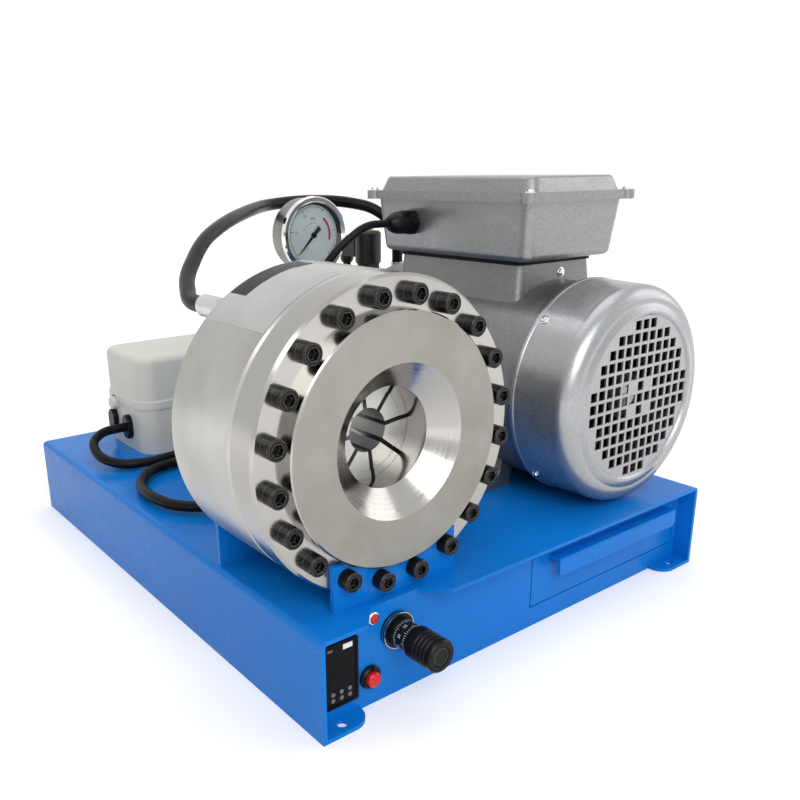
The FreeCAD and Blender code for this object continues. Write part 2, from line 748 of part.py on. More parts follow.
def head_screws():
    screws = []
    for angle in cover_screw_angles():
        x, z = head_spot(angle, SCREW_PCD / 2)
        on_bracket = any(abs(angle - a) < 1 for a in FRONT_BRACKET_SCREWS)
        seat = COVER_FRONT_Y - BRACKET_T if on_bracket else COVER_FRONT_Y
        screws.append(socket_screw(x, z, seat, SCREW_LEN, 1))
    for angle in REAR_BRACKET_SCREWS:
        x, z = head_spot(angle, SCREW_PCD / 2)
        screws.append(socket_screw(x, z, CYL_REAR_Y + BRACKET_T, REAR_SCREW_LEN, -1))
    return group(screws)


def bracket(half, top, arc_r, y0, angles):
    """Upright plate between the top plate and the head, with an arc round the centre."""
    plate = box(HEAD_X - half, HEAD_X + half, y0, y0 + BRACKET_T, TOP_Z, TOP_Z + top)
    cuts = [rod_y(HEAD_X, HEAD_Z, arc_r, y0 - 1, y0 + BRACKET_T + 1)]
    for angle in angles:
        x, z = head_spot(angle, SCREW_PCD / 2)
        cuts.append(rod_y(x, z, SCREW_R + BOLT_GAP, y0 - 1, y0 + BRACKET_T + 1))
    return plate.cut(group(cuts))


def front_bracket():
    return bracket(FRONT_BRACKET_HALF, FRONT_BRACKET_TOP, COVER_DISC_R + BRACKET_ARC_GAP,
                   COVER_FRONT_Y - BRACKET_T, FRONT_BRACKET_SCREWS)


def rear_bracket():
    return bracket(REAR_BRACKET_HALF, REAR_BRACKET_TOP, ARM_RING_R + BRACKET_ARC_GAP,
                   CYL_REAR_Y, REAR_BRACKET_SCREWS)


def cone_r(y):
    """Radius of the dies' outer cone at rest."""
    return DIE_FRONT_R - (y - DIE_Y0) * TAN_CONE


def die(number):
    """One of the wedge-shaped dies: a shoe with a loose jaw insert."""
    wedge = die_wedge()
    parting = 0.05
    shoe_core = pipe_y(HEAD_X, HEAD_Z, BORE_R, DIE_SHOE_R, DIE_Y0 - 1, DIE_Y1 + 1)
    jaw_core = pipe_y(HEAD_X, HEAD_Z, DIE_SHOE_R - parting, DIE_INNER_R, DIE_Y0 + JAW_STEP, DIE_Y1 - JAW_STEP)
    angle = DIE_TURN + (number - 1) * 360 / DIE_N
    return group([about_head(wedge.common(shoe_core), angle), about_head(wedge.common(jaw_core), angle)])


def die_wedge():
    """Wedge about +X inside the cone, with half a gap left on each side."""
    half_turn = math.pi / DIE_N
    tip = (DIE_GAP / 2) / math.sin(half_turn)
    far = DIE_FRONT_R * 1.2
    spread = (far - tip) * math.tan(half_turn)
    wedge = prism(((HEAD_X + tip, DIE_Y0, HEAD_Z), (HEAD_X + far, DIE_Y0, HEAD_Z - spread),
                   (HEAD_X + far, DIE_Y0, HEAD_Z + spread)), (0, DIE_LEN, 0))
    cone = turned("y", (HEAD_X, HEAD_Z), (
        (0, DIE_Y0), (DIE_FRONT_R - 2, DIE_Y0), (cone_r(DIE_Y0 + 2), DIE_Y0 + 2),
        (cone_r(DIE_Y1), DIE_Y1), (0, DIE_Y1)))
    return wedge.common(cone)


def piston():
    """Stepped ring piston with the inner cone that closes the dies."""
    skirt_r = GLAND_BORE_R - PISTON_SKIRT_GAP
    collar_r = BORE_R - RUN_GAP
    front = PISTON_FRONT_Y
    body = turned("y", (HEAD_X, HEAD_Z), (
        (cone_r(front) + CONE_GAP, front), (skirt_r - 1, front), (skirt_r, front + 1),
        (skirt_r, PISTON_STEP_Y), (collar_r, PISTON_STEP_Y), (collar_r, PISTON_REAR_Y),
        (TAIL_R, PISTON_REAR_Y), (TAIL_R, TAIL_END_Y), (TAIL_BORE_R, TAIL_END_Y),
        (TAIL_BORE_R, PISTON_WEB_Y), (cone_r(PISTON_WEB_Y) + CONE_GAP, PISTON_WEB_Y)))
    y = piston_seal_y()
    groove = pipe_y(HEAD_X, HEAD_Z, collar_r + 1, collar_r - SEAL_DEPTH, y - SEAL_W / 2, y + SEAL_W / 2)
    return body.cut(groove)


def piston_seal_y():
    return (PISTON_STEP_Y + PISTON_REAR_Y) / 2


def piston_seals():
    y = piston_seal_y()
    return pipe_y(HEAD_X, HEAD_Z, BORE_R - SHAFT_FIT, BORE_R - RUN_GAP - SEAL_DEPTH + 0.1,
                  y - SEAL_W / 2 + 0.1, y + SEAL_W / 2 - 0.1)


def cylinder_seals():
    """Lip seals of the narrow bore and of the tail bore."""
    rings = []
    for bore_r, lip_r, y in ((GLAND_BORE_R, GLAND_BORE_R - PISTON_SKIRT_GAP + SHAFT_FIT, gland_seal_y()),
                             (TAIL_R + RUN_GAP, TAIL_R + SHAFT_FIT, rod_seal_y())):
        rings.append(pipe_y(HEAD_X, HEAD_Z, bore_r + SEAL_DEPTH - 0.1, lip_r,
                            y - SEAL_W / 2 + 0.1, y + SEAL_W / 2 - 0.1))
    return group(rings)


def trip_y():
    """Rest place of the trip rod's end: it all but meets the switch at the ends of both travels."""
    switch_tip = SWITCH_Y + SWITCH_SIZE[1] + SWITCH_TIP
    return switch_tip + DIAL_TRAVEL + TRIP_GAP + piston_forward()


def stroke_arm():
    """Ring on the piston tail with a leg into the base and the rod that trips the switch."""
    y0 = TAIL_END_Y
    y1 = TAIL_END_Y + ARM_T
    ring = pipe_y(HEAD_X, HEAD_Z, ARM_RING_R, TAIL_BORE_R, y0, y1)
    leg_top = HEAD_Z - (ARM_RING_R + TAIL_BORE_R) / 2
    leg = box(DIAL_X - ARM_W / 2, DIAL_X + ARM_W / 2, y0, y1, ARM_FOOT_Z, leg_top)
    leg = round_edges(leg, 5, "y", lambda c: c.z < ARM_FOOT_Z + 1)
    rod = rod_y(DIAL_X, DIAL_Z, TRIP_R, trip_y(), y0 + 1)
    return ring.multiFuse([leg, rod]).removeSplitter()


# Diameter dial

DIAL_END_Y = FRONT_Y - DIAL_LEN


def dial_barrel():
    collar_y = FRONT_Y - DIAL_COLLAR_T
    sleeve_end = DIAL_END_Y + DIAL_GRIP_FLOOR + DIAL_TRAVEL + 2
    bore = SPINDLE_R + SHAFT_FIT
    body = turned("y", (DIAL_X, DIAL_Z), (
        (bore, sleeve_end), (DIAL_SLEEVE_R, sleeve_end), (DIAL_SLEEVE_R, collar_y),
        (DIAL_COLLAR_R - 1, collar_y), (DIAL_COLLAR_R, collar_y + 1), (DIAL_COLLAR_R, FRONT_Y),
        (DIAL_STUB_R, FRONT_Y), (DIAL_STUB_R, FRONT_Y + DIAL_STUB_LEN), (bore, FRONT_Y + DIAL_STUB_LEN)))
    nut = hexagon_rod("y", (DIAL_X, DIAL_Z), DIAL_NUT_R * 2, FRONT_Y + SHEET, FRONT_Y + SHEET + 7)
    nut = nut.cut(rod_y(DIAL_X, DIAL_Z, DIAL_STUB_R - 0.5, FRONT_Y, FRONT_Y + 20))
    return body.fuse(nut).removeSplitter()


def dial_thimble():
    """Turning grip with grooves and a skirt that slides over the barrel."""
    y = DIAL_END_Y
    bore = DIAL_SLEEVE_R + RUN_GAP
    r = DIAL_GRIP_R
    shaft_hole = SPINDLE_R + SHAFT_FIT
    outline = [(shaft_hole, y + 3), (shaft_hole + 5, y + 3), (shaft_hole + 5, y), (r - 1.5, y), (r, y + 1.5)]
    for k in range(4):
        edge = y + 5 + 4.5 * k
        outline += [(r, edge), (r - 0.9, edge + 0.9), (r - 0.9, edge + 1.8), (r, edge + 2.7)]
    outline += [(r, y + DIAL_GRIP_LEN - 1), (r - 1, y + DIAL_GRIP_LEN), (bore, y + DIAL_GRIP_LEN),
                (bore, y + DIAL_GRIP_FLOOR), (shaft_hole, y + DIAL_GRIP_FLOOR)]
    return turned("y", (DIAL_X, DIAL_Z), outline)


def dial_spindle():
    """Spindle through the barrel, held in the thimble by its head and a collar."""
    y = DIAL_END_Y
    r = SPINDLE_R
    collar = y + DIAL_GRIP_FLOOR
    return turned("y", (DIAL_X, DIAL_Z), (
        (0, y + 0.5), (r + 4, y + 0.5), (r + 4, y + 2.8), (r, y + 2.8), (r, collar + 0.2),
        (r, SWITCH_Y), (0, SWITCH_Y)))


def limit_switch():
    """Switch block on the spindle's end, with its plunger towards the trip rod."""
    w, d, h = SWITCH_SIZE
    body = box(DIAL_X - w / 2, DIAL_X + w / 2, SWITCH_Y, SWITCH_Y + d, DIAL_Z - h / 2, DIAL_Z + h / 2)
    body = round_edges(body, 2, "y")
    tip_y = SWITCH_Y + d
    plunger = rod_y(DIAL_X, DIAL_Z, 3.0, tip_y - 1, tip_y + SWITCH_TIP)
    return body.fuse(plunger).removeSplitter()


# Display, lamp and button

def display_panel():
    face_y = FRONT_Y - DISPLAY_PROUD
    bezel = box(DISPLAY_X0, DISPLAY_X1, face_y, FRONT_Y, DISPLAY_Z0, DISPLAY_Z1)
    bezel = round_edges(bezel, 2.0, "y")
    window = box(DISPLAY_X0 + 2.5, DISPLAY_X1 - 2.5, face_y - 1, face_y + 0.8,
                 DISPLAY_Z0 + 2.5, DISPLAY_Z1 - 2.5)
    rim = DISPLAY_RIM + RUN_GAP
    body = box(DISPLAY_X0 + rim, DISPLAY_X1 - rim, FRONT_Y - 1, FRONT_Y + DISPLAY_DEPTH,
               DISPLAY_Z0 + rim, DISPLAY_Z1 - rim)
    return bezel.cut(window).fuse(body).removeSplitter()


def lamp_body_r():
    return LAMP_R - 2


def lamp_bezel():
    y = FRONT_Y
    return turned("y", (LAMP_X, LAMP_Z), (
        (LAMP_R - 2.2, y + 20), (lamp_body_r(), y + 20), (lamp_body_r(), y), (LAMP_R, y), (LAMP_R, y - 1.2),
        (LAMP_R - 0.5, y - 2.1, LAMP_R - 1.4, y - 2.5), (LAMP_R - 2.2, y - 2.5)))


def lamp_lens():
    y = FRONT_Y
    r = LAMP_R - 2.2 - SHAFT_FIT
    return turned("y", (LAMP_X, LAMP_Z), (
        (0, y + 16), (r, y + 16), (r, y - 2.6), (r * 0.8, y - 4.2, r * 0.2, y - 5), (0, y - 5)))


def button_bezel():
    y = FRONT_Y
    bore = BUTTON_CAP_R + RUN_GAP
    body = turned("y", (BUTTON_X, BUTTON_Z), (
        (bore, y - BUTTON_PROUD), (BUTTON_R - 2, y - BUTTON_PROUD), (BUTTON_R, y - BUTTON_PROUD + 2),
        (BUTTON_R, y), (BUTTON_BODY_R, y), (BUTTON_BODY_R, y + BUTTON_DEPTH), (0, y + BUTTON_DEPTH),
        (0, y + BUTTON_DEPTH - 6), (bore, y + BUTTON_DEPTH - 6)))
    return body


def button_cap():
    y = FRONT_Y
    r = BUTTON_CAP_R
    face = y - BUTTON_CAP_PROUD
    back = y + BUTTON_DEPTH - 6 - BUTTON_TRAVEL - 1
    return turned("y", (BUTTON_X, BUTTON_Z), (
        (0, face + 0.6), (r - 2.5, face + 0.4), (r - 1.2, face), (r, face + 1.2), (r, y + 2),
        (r - 2, y + 2), (r - 2, back), (0, back)))


# Drawer

def drawer_front():
    """Flush front panel with a folded pull along its upper edge."""
    g = PANEL_GAP
    plate = box(DRAWER_X0 + g, DRAWER_X1 - g, FRONT_Y, FRONT_Y + DRAWER_FRONT_T, DRAWER_Z0 + g, DRAWER_Z1 - g)
    y_out = FRONT_Y - HANDLE_PROUD
    shelf = box(HANDLE_X0, HANDLE_X1, y_out, FRONT_Y + 1, HANDLE_Z1 - DRAWER_FRONT_T, HANDLE_Z1)
    lip = box(HANDLE_X0, HANDLE_X1, y_out, y_out + DRAWER_FRONT_T, HANDLE_Z0, HANDLE_Z1)
    pull = shelf.fuse(lip).removeSplitter()
    pull = round_edges(pull, HANDLE_R, "y", lambda c: c.z < HANDLE_Z0 + 1)
    pull = round_edges(pull, 2.0, "x", lambda c: c.z > HANDLE_Z1 - 1 and c.y < y_out + 1)
    return plate.fuse(pull).removeSplitter()


def tray_bounds():
    """Outer walls of the drawer tray: x0, x1, y0, y1, z0, z1."""
    side = PANEL_GAP + RUNNER_T + 1
    y0 = FRONT_Y + DRAWER_FRONT_T
    return (DRAWER_X0 + side, DRAWER_X1 - side, y0, y0 + DRAWER_LEN,
            DRAWER_Z0 + RUNNER_T + 0.2, DRAWER_Z1 - PANEL_GAP - 2)


def drawer_tray():
    x0, x1, y0, y1, z0, z1 = tray_bounds()
    t = DRAWER_SHEET
    outer = box(x0, x1, y0, y1, z0, z1)
    return outer.cut(box(x0 + t, x1 - t, y0 + t, y1 - t, z0 + t, z1 + 1))


def drawer_runners():
    """Two rails that hang under the top plate and carry the tray on their shelves."""
    x0, x1, y0, y1, z0, z1 = tray_bounds()
    rails = []
    bolt_room = rod_z(MOTOR_X + FOOT_HOLE_DX / 2, foot_middle() - FOOT_HOLE_DY / 2,
                      BOLT_HEAD_AF / 2 + 4, UNDER_TOP - BOLT_END - 2, UNDER_TOP + 1)
    start = FRONT_Y + SHEET
    for side, edge in ((-1, x0), (1, x1)):
        web_in = edge + side * 0.5
        web_out = web_in + side * RUNNER_T
        shelf_in = edge - side * RUNNER_SHELF
        flange_out = web_out + side * RUNNER_SHELF
        flange_out = min(flange_out, BASE_W / 2 - BEND_R)
        web = box(*sorted((web_in, web_out)), start, y1, DRAWER_Z0, UNDER_TOP)
        shelf = box(*sorted((shelf_in, web_out)), start, y1, DRAWER_Z0, DRAWER_Z0 + RUNNER_T)
        flange = box(*sorted((web_in, flange_out)), start, y1, UNDER_TOP - RUNNER_T, UNDER_TOP)
        rails.append(web.multiFuse([shelf, flange]).removeSplitter().cut(bolt_room))
    return group(rails)


# Motor

def foot_middle():
    return (FOOT_Y0 + FOOT_Y1) / 2


def motor_frame():
    """Smooth frame tube with cast feet and the neck of the terminal box."""
    tube = pipe_y(MOTOR_X, MOTOR_Z, FRAME_R, FRAME_BORE_R, FRAME_Y0 + SHIELD_T, FRAME_Y1)
    additions = []
    for side in (-1, 1):
        foot = prism([(MOTOR_X + side * x, FOOT_Y0, z) for x, z in (
            (FOOT_HALF, TOP_Z), (FOOT_HALF, TOP_Z + FOOT_T), (FOOT_HALF - FOOT_PAD, TOP_Z + FOOT_T),
            (FOOT_HALF - FOOT_PAD - 6, TOP_Z + FOOT_T + 8), (FOOT_HALF - FOOT_PAD - 8, MOTOR_Z - FOOT_ROOT),
            (FRAME_R * 0.4, MOTOR_Z - FOOT_ROOT), (FOOT_HALF - FOOT_W - 4, TOP_Z + FOOT_T + 8),
            (FOOT_HALF - FOOT_W, TOP_Z))], (0, FOOT_Y1 - FOOT_Y0, 0))
        relief = box(*sorted((MOTOR_X + side * (FOOT_HALF - FOOT_PAD + 4), MOTOR_X + side * (FOOT_HALF + 1))),
                     FOOT_Y0 + FOOT_RELIEF, FOOT_Y1 - FOOT_RELIEF, TOP_Z - 1, TOP_Z + FOOT_T + 1)
        additions.append(foot.cut(relief))
    y0 = BOX_Y0 + NECK_INSET * 2
    y1 = BOX_Y1 - NECK_INSET * 2
    half = BOX_HALF_LOW - NECK_INSET
    top = BOX_Z0 - GASKET_T
    root = MOTOR_Z + FRAME_R - NECK_ROOT
    neck = drafted((MOTOR_X - half - 6, MOTOR_X + half + 6, y0 - 4, y1 + 4, root, 10),
                   (MOTOR_X - half, MOTOR_X + half, y0, y1, top, 10))
    additions.append(neck)
    body = tube.multiFuse(additions).removeSplitter()
    cuts = [rod_y(MOTOR_X, MOTOR_Z, FRAME_BORE_R, FRAME_Y0, FRAME_Y1 + 1)]
    for sx in (-1, 1):
        for sy in (-1, 1):
            cuts.append(rod_z(MOTOR_X + sx * FOOT_HOLE_DX / 2, foot_middle() + sy * FOOT_HOLE_DY / 2,
                              FOOT_HOLE_R, TOP_Z - 1, TOP_Z + FOOT_T + 20))
    return body.cut(group(cuts))


def motor_bolts():
    """Hexagon bolts through the motor feet, with nuts under the top plate."""
    bolts = []
    seat = TOP_Z + FOOT_T
    for sx in (-1, 1):
        for sy in (-1, 1):
            x = MOTOR_X + sx * FOOT_HOLE_DX / 2
            y = foot_middle() + sy * FOOT_HOLE_DY / 2
            head = hexagon_rod("z", (x, y), BOLT_HEAD_AF, seat, seat + BOLT_HEAD_H)
            shank = rod_z(x, y, BOLT_R, UNDER_TOP - BOLT_END, seat + 1)
            nut = hexagon_rod("z", (x, y), BOLT_HEAD_AF, UNDER_TOP - BOLT_NUT_H, UNDER_TOP)
            bolts.append(head.multiFuse([shank, nut]).removeSplitter())
    return group(bolts)


def end_shields():
    """Bearing shields at both ends of the frame; the front one carries the cowl's lugs."""
    bore = SHAFT_R + SHAFT_FIT
    front = turned("y", (MOTOR_X, MOTOR_Z), (
        (bore, FRAME_Y0 - 4), (34, FRAME_Y0 - 4), (38, FRAME_Y0), (FRAME_R, FRAME_Y0),
        (FRAME_R, FRAME_Y0 + SHIELD_T), (FRAME_BORE_R - 0.2, FRAME_Y0 + SHIELD_T),
        (FRAME_BORE_R - 0.2, FRAME_Y0 + SHIELD_T + 6), (FRAME_BORE_R - 8, FRAME_Y0 + SHIELD_T + 6),
        (40, FRAME_Y0 + SHIELD_T + 2), (36, FRAME_Y0 + 34), (bore, FRAME_Y0 + 34)))
    lugs = []
    for k in range(COWL_LUGS):
        lug = box(MOTOR_X - 9, MOTOR_X + 9, FRAME_Y0, FRAME_Y0 + SHIELD_T - 3,
                  MOTOR_Z + FRAME_R - 6, MOTOR_Z + COWL_R)
        lug.rotate(V(MOTOR_X, 0, MOTOR_Z), V(0, 1, 0), 45 + 360 / COWL_LUGS * k)
        lugs.append(lug)
    trim = rod_y(MOTOR_X, MOTOR_Z, cowl_inner_r(FRAME_Y0) - RUN_GAP, FRAME_Y0 - 10, FRAME_Y0 + 40)
    front = front.multiFuse(lugs).common(trim).removeSplitter()
    y = FRAME_Y1
    rear = turned("y", (MOTOR_X, MOTOR_Z), (
        (bore, y - 24), (36, y - 24), (40, y - 4), (FRAME_BORE_R - 8, y - 6), (FRAME_BORE_R - 0.2, y - 6),
        (FRAME_BORE_R - 0.2, y), (FRAME_R, y), (FRAME_R, y + 5), (FRAME_R - 6, y + SHIELD_T),
        (bore, y + SHIELD_T)))
    return group([front, rear])


def rotor_shaft():
    y0, y1 = ROTOR_Y0, ROTOR_Y1
    return turned("y", (MOTOR_X, MOTOR_Z), (
        (0, SHAFT_Y0), (SHAFT_R - 1, SHAFT_Y0), (SHAFT_R, SHAFT_Y0 + 1), (SHAFT_R, y0), (ROTOR_R, y0),
        (ROTOR_R, y1), (SHAFT_R, y1), (SHAFT_R, SHAFT_Y1), (0, SHAFT_Y1)))


def cooling_fan():
    """Radial fan that shows through the grille."""
    y0, y1 = FAN_Y0, FAN_Y1
    hub = pipe_y(MOTOR_X, MOTOR_Z, FAN_HUB_R, SHAFT_R, y0 + 6, y1)
    plate = pipe_y(MOTOR_X, MOTOR_Z, FAN_R, SHAFT_R + 2, y1 - FAN_PLATE_T, y1)
    blades = []
    for k in range(FAN_BLADES):
        blade = prism(((MOTOR_X + FAN_HUB_R - 2, y0 + 12, MOTOR_Z - FAN_BLADE_T / 2),
                       (MOTOR_X + FAN_R * 0.7, y0, MOTOR_Z - FAN_BLADE_T / 2),
                       (MOTOR_X + FAN_R - 1, y0 + 3, MOTOR_Z - FAN_BLADE_T / 2),
                       (MOTOR_X + FAN_R - 1, y1 - 1, MOTOR_Z - FAN_BLADE_T / 2),
                       (MOTOR_X + FAN_HUB_R - 2, y1 - 1, MOTOR_Z - FAN_BLADE_T / 2)), (0, 0, FAN_BLADE_T))
        blade.rotate(V(MOTOR_X, 0, MOTOR_Z), V(0, 1, 0), 360 / FAN_BLADES * k)
        blades.append(blade)
    return hub.multiFuse([plate] + blades).removeSplitter()


def cowl_inner_r(y):
    """Inner radius of the cowl's side wall."""
    share = (y - COWL_RIM_Y) / (COWL_SHOULDER_Y - COWL_RIM_Y)
    return COWL_R + (COWL_SHOULDER_R - COWL_R) * share - COWL_T


def fan_cowl():
    t = COWL_T
    face = COWL_FACE_Y
    disc = face + COWL_RIM_H
    r = COWL_FACE_R
    shell = turned("y", (MOTOR_X, MOTOR_Z), (
        (COWL_R - t, COWL_RIM_Y), (COWL_R + 0.8, COWL_RIM_Y), (COWL_R + 0.8, COWL_RIM_Y - 3),
        (COWL_R, COWL_RIM_Y - 4), (COWL_SHOULDER_R, COWL_SHOULDER_Y),
        (COWL_SHOULDER_R - 4, face + 9, r + 8, face + 3), (r + 2.5, face + 0.6, r + 0.5, face),
        (r - 2, face), (r - 4, disc), (0, disc), (0, disc + t), (r, disc + t),
        (r + 7, face + 5.5), (COWL_SHOULDER_R - 6, face + 11, COWL_SHOULDER_R - t, COWL_SHOULDER_Y)))
    return shell.cut(group(grille_holes(disc, t)))


def grille_holes(y, t):
    """Square holes in rows, without the four next to the middle."""
    holes = []
    half = GRILLE_HOLE / 2
    middle_row = len(GRILLE_ROWS) // 2
    for row, count in enumerate(GRILLE_ROWS):
        z = MOTOR_Z + (middle_row - row) * GRILLE_PITCH
        for column in range(count):
            offset = column - (count - 1) / 2
            if abs(row - middle_row) == 1 and abs(offset) == 1:
                continue
            x = MOTOR_X + offset * GRILLE_PITCH
            holes.append(box(x - half, x + half, y - 1, y + t + 1, z - half, z + half))
    return holes


# Terminal box

def box_outline(half, inset_y, z, r):
    return (MOTOR_X - half, MOTOR_X + half, BOX_Y0 + inset_y, BOX_Y1 - inset_y, z, r)


def flange_plate(z0, t):
    """Rim plate with a screw lug at each corner."""
    half = BOX_HALF_TOP + BOX_FLANGE_PROUD
    y0 = BOX_Y0 - BOX_FLANGE_PROUD
    y1 = BOX_Y1 + BOX_FLANGE_PROUD
    plate = rounded_block(MOTOR_X - half, MOTOR_X + half, y0, y1, z0, z0 + t, BOX_CORNER_R)
    lugs = []
    for sx in (-1, 1):
        for y in (y0 + 5, y1 - 5):
            lugs.append(rod_z(MOTOR_X + sx * (half - 4), y, LID_LUG_R, z0, z0 + t))
    return plate.multiFuse(lugs).removeSplitter()


def terminal_box():
    r = BOX_CORNER_R
    w = BOX_WALL
    body = drafted(box_outline(BOX_HALF_LOW, BOX_DRAFT_Y, BOX_Z0, r),
                   box_outline(BOX_HALF_TOP, 0, BOX_Z1 - 1, r))
    low = [e for e in body.Edges if abs(e.CenterOfMass.z - BOX_Z0) < 1e-3]
    body = body.makeFillet(8.0, low)
    room = drafted(box_outline(BOX_HALF_LOW - w, BOX_DRAFT_Y + w, BOX_Z0 + w, r - w),
                   box_outline(BOX_HALF_TOP - w, w, BOX_Z1 + 1, r - w))
    body = body.fuse(flange_plate(BOX_Z1 - BOX_FLANGE_T, BOX_FLANGE_T)).removeSplitter()
    gland_hole = rod_x(GLAND_Y, GLAND_Z, gland_stub_r() + RUN_GAP, MOTOR_X - BOX_HALF_TOP - 5, MOTOR_X)
    return body.cut(group([room, gland_hole]))


def terminal_gasket():
    """Gasket between the neck and the box."""
    half = BOX_HALF_LOW - NECK_INSET + 2
    y0 = BOX_Y0 + NECK_INSET * 2 - 2
    y1 = BOX_Y1 - NECK_INSET * 2 + 2
    return rounded_block(MOTOR_X - half, MOTOR_X + half, y0, y1, BOX_Z0 - GASKET_T, BOX_Z0,
                         BOX_CORNER_R - 4)


def terminal_lid():
    """Lid with a rim, a raised middle and a rounded top edge."""
    z0 = BOX_Z1
    rim = flange_plate(z0, LID_FLANGE_T)
    top_z = z0 + LID_H
    inset = 6
    crown = drafted(box_outline(BOX_HALF_TOP - 2, 2, z0 + LID_FLANGE_T - 1, BOX_CORNER_R),
                    box_outline(BOX_HALF_TOP - 2 - inset, 2 + inset, top_z, BOX_CORNER_R))
    upper = [e for e in crown.Edges if abs(e.CenterOfMass.z - top_z) < 1e-3]
    crown = crown.makeFillet(5.0, upper)
    return rim.fuse(crown).removeSplitter()


def gland_stub_r():
    return GLAND_HEX_AF / 2 - 4


def box_side_x(z):
    """Left face of the terminal box at a height."""
    share = (z - BOX_Z0) / (BOX_Z1 - 1 - BOX_Z0)
    return MOTOR_X - BOX_HALF_LOW - (BOX_HALF_TOP - BOX_HALF_LOW) * share


def gland_end_x():
    return MOTOR_X - BOX_HALF_TOP - GLAND_LEN_X


def cable_gland():
    x = box_side_x(GLAND_Z - GLAND_HEX_AF / 2)
    x_seat = box_side_x(GLAND_Z + GLAND_HEX_AF / 2)
    hex_end = x_seat - GLAND_HEX_T
    cable = MOTOR_CABLE_R + SHAFT_FIT
    body = hexagon_rod("x", (GLAND_Y, GLAND_Z), GLAND_HEX_AF, hex_end, x_seat)
    stub = rod_x(GLAND_Y, GLAND_Z, gland_stub_r(), hex_end, x + BOX_WALL + 8)
    r = GLAND_HEX_AF / 2
    end = gland_end_x()
    dome = turned("x", (GLAND_Y, GLAND_Z), (
        (0, hex_end + 1), (r - 0.5, hex_end + 1), (r - 0.5, hex_end - 8),
        (r - 2.5, (hex_end - 8 + end) / 2 - 2, cable + 2, end), (0, end)))
    return body.multiFuse([stub, dome]).removeSplitter()


# Pump set

def pump_port_y():
    return (BELL_Y1 + PUMP_FLANGE_T + PUMP_Y1) / 2


def suction_x():
    return MOTOR_X + PUMP_HALF_X + SUCTION_BEND


def bell_housing():
    y0 = FRAME_Y1 + SHIELD_T
    y1 = BELL_Y1
    body = turned("y", (MOTOR_X, MOTOR_Z), (
        (50, y0), (96, y0), (96, y0 + 9), (72, y0 + 13), (62, y1 - 12), (66, y1 - 9), (66, y1),
        (20, y1), (20, y1 - 10), (50, y1 - 10)))
    window = box(MOTOR_X - 80, MOTOR_X + 80, y0 + 16, y1 - 15, MOTOR_Z - 14, MOTOR_Z + 14)
    return body.cut(window)


def shaft_coupling():
    """Jaw coupling between the motor shaft and the pump shaft, with the pump's shaft end."""
    y0 = SHAFT_Y1 - 12
    y1 = y0 + COUPLING_LEN
    c = 2.0
    body = turned("y", (MOTOR_X, MOTOR_Z), (
        (SHAFT_R + SHAFT_FIT, y0), (COUPLING_R - c, y0), (COUPLING_R, y0 + c), (COUPLING_R, y0 + 12),
        (COUPLING_R - 2, y0 + 13), (COUPLING_R - 2, y0 + 19), (COUPLING_R, y0 + 20), (COUPLING_R, y1 - c),
        (COUPLING_R - c, y1), (PUMP_SHAFT_R, y1), (PUMP_SHAFT_R, BELL_Y1 + PUMP_FLANGE_T),
        (0, BELL_Y1 + PUMP_FLANGE_T), (0, SHAFT_Y1 + 0.5), (SHAFT_R + SHAFT_FIT, SHAFT_Y1 + 0.5)))
    return body


def gear_pump():
    """Gear pump with mounting flange, rounded body and rear cover with screw heads."""
    x, z = MOTOR_X, MOTOR_Z
    y0, y1 = BELL_Y1, PUMP_Y1
    flange = round_edges(box(x - PUMP_HALF_X - 14, x + PUMP_HALF_X + 14, y0, y0 + PUMP_FLANGE_T,
                             z - PUMP_HALF_Z + 4, z + PUMP_HALF_Z - 4), 12, "y")
    body = round_edges(box(x - PUMP_HALF_X, x + PUMP_HALF_X, y0 + PUMP_FLANGE_T - 1, y1 - 16,
                           z - PUMP_HALF_Z, z + PUMP_HALF_Z), 16, "y", lambda c: c.z < z)
    cover = round_edges(box(x - PUMP_HALF_X, x + PUMP_HALF_X, y1 - 15.4, y1,
                            z - PUMP_HALF_Z, z + PUMP_HALF_Z), 16, "y", lambda c: c.z < z)
    seam = box(x - PUMP_HALF_X + 1, x + PUMP_HALF_X - 1, y1 - 17, y1 - 15,
               z - PUMP_HALF_Z + 1, z + PUMP_HALF_Z - 1)
    heads = []
    for sx in (-1, 1):
        for sz in (-1, 1):
            heads.append(rod_y(x + sx * (PUMP_HALF_X - 12), z + sz * (PUMP_HALF_Z - 14), 6.5, y1 - 1, y1 + 8))
    pump = flange.multiFuse([body, cover, seam] + heads).removeSplitter()
    bore = rod_y(x, z, PUMP_SHAFT_R + RUN_GAP, y0 - 1, y0 + PUMP_FLANGE_T + 2)
    return pump.cut(bore)


def suction_pipe():
    """Steel pipe from the pump's side port down through the top plate into the tank."""
    x = MOTOR_X + PUMP_HALF_X
    y = pump_port_y()
    z = MOTOR_Z
    bend = SUCTION_BEND - 10
    half_way = bend * math.sin(math.pi / 4)
    path = Part.Wire([
        Part.LineSegment(V(x, y, z), V(suction_x() - bend, y, z)).toShape(),
        Part.Arc(V(suction_x() - bend, y, z),
                 V(suction_x() - bend + half_way, y, z - bend + half_way),
                 V(suction_x(), y, z - bend)).toShape(),
        Part.LineSegment(V(suction_x(), y, z - bend), V(suction_x(), y, SHEET + TANK_WALL + 12)).toShape()])
    ring = Part.Wire([Part.makeCircle(SUCTION_R, V(x, y, z), V(1, 0, 0))])
    pipe = whole(path.makePipeShell([ring], True, False))
    nut = hexagon_rod("x", (y, z), 2 * SUCTION_R + 8, x, x + 9)
    collar = rod_z(suction_x(), y, SUCTION_R + 6, TOP_Z, TOP_Z + 6)
    return pipe.multiFuse([nut, collar]).removeSplitter()


def block_z1():
    return BLOCK_Z0 + BLOCK_H


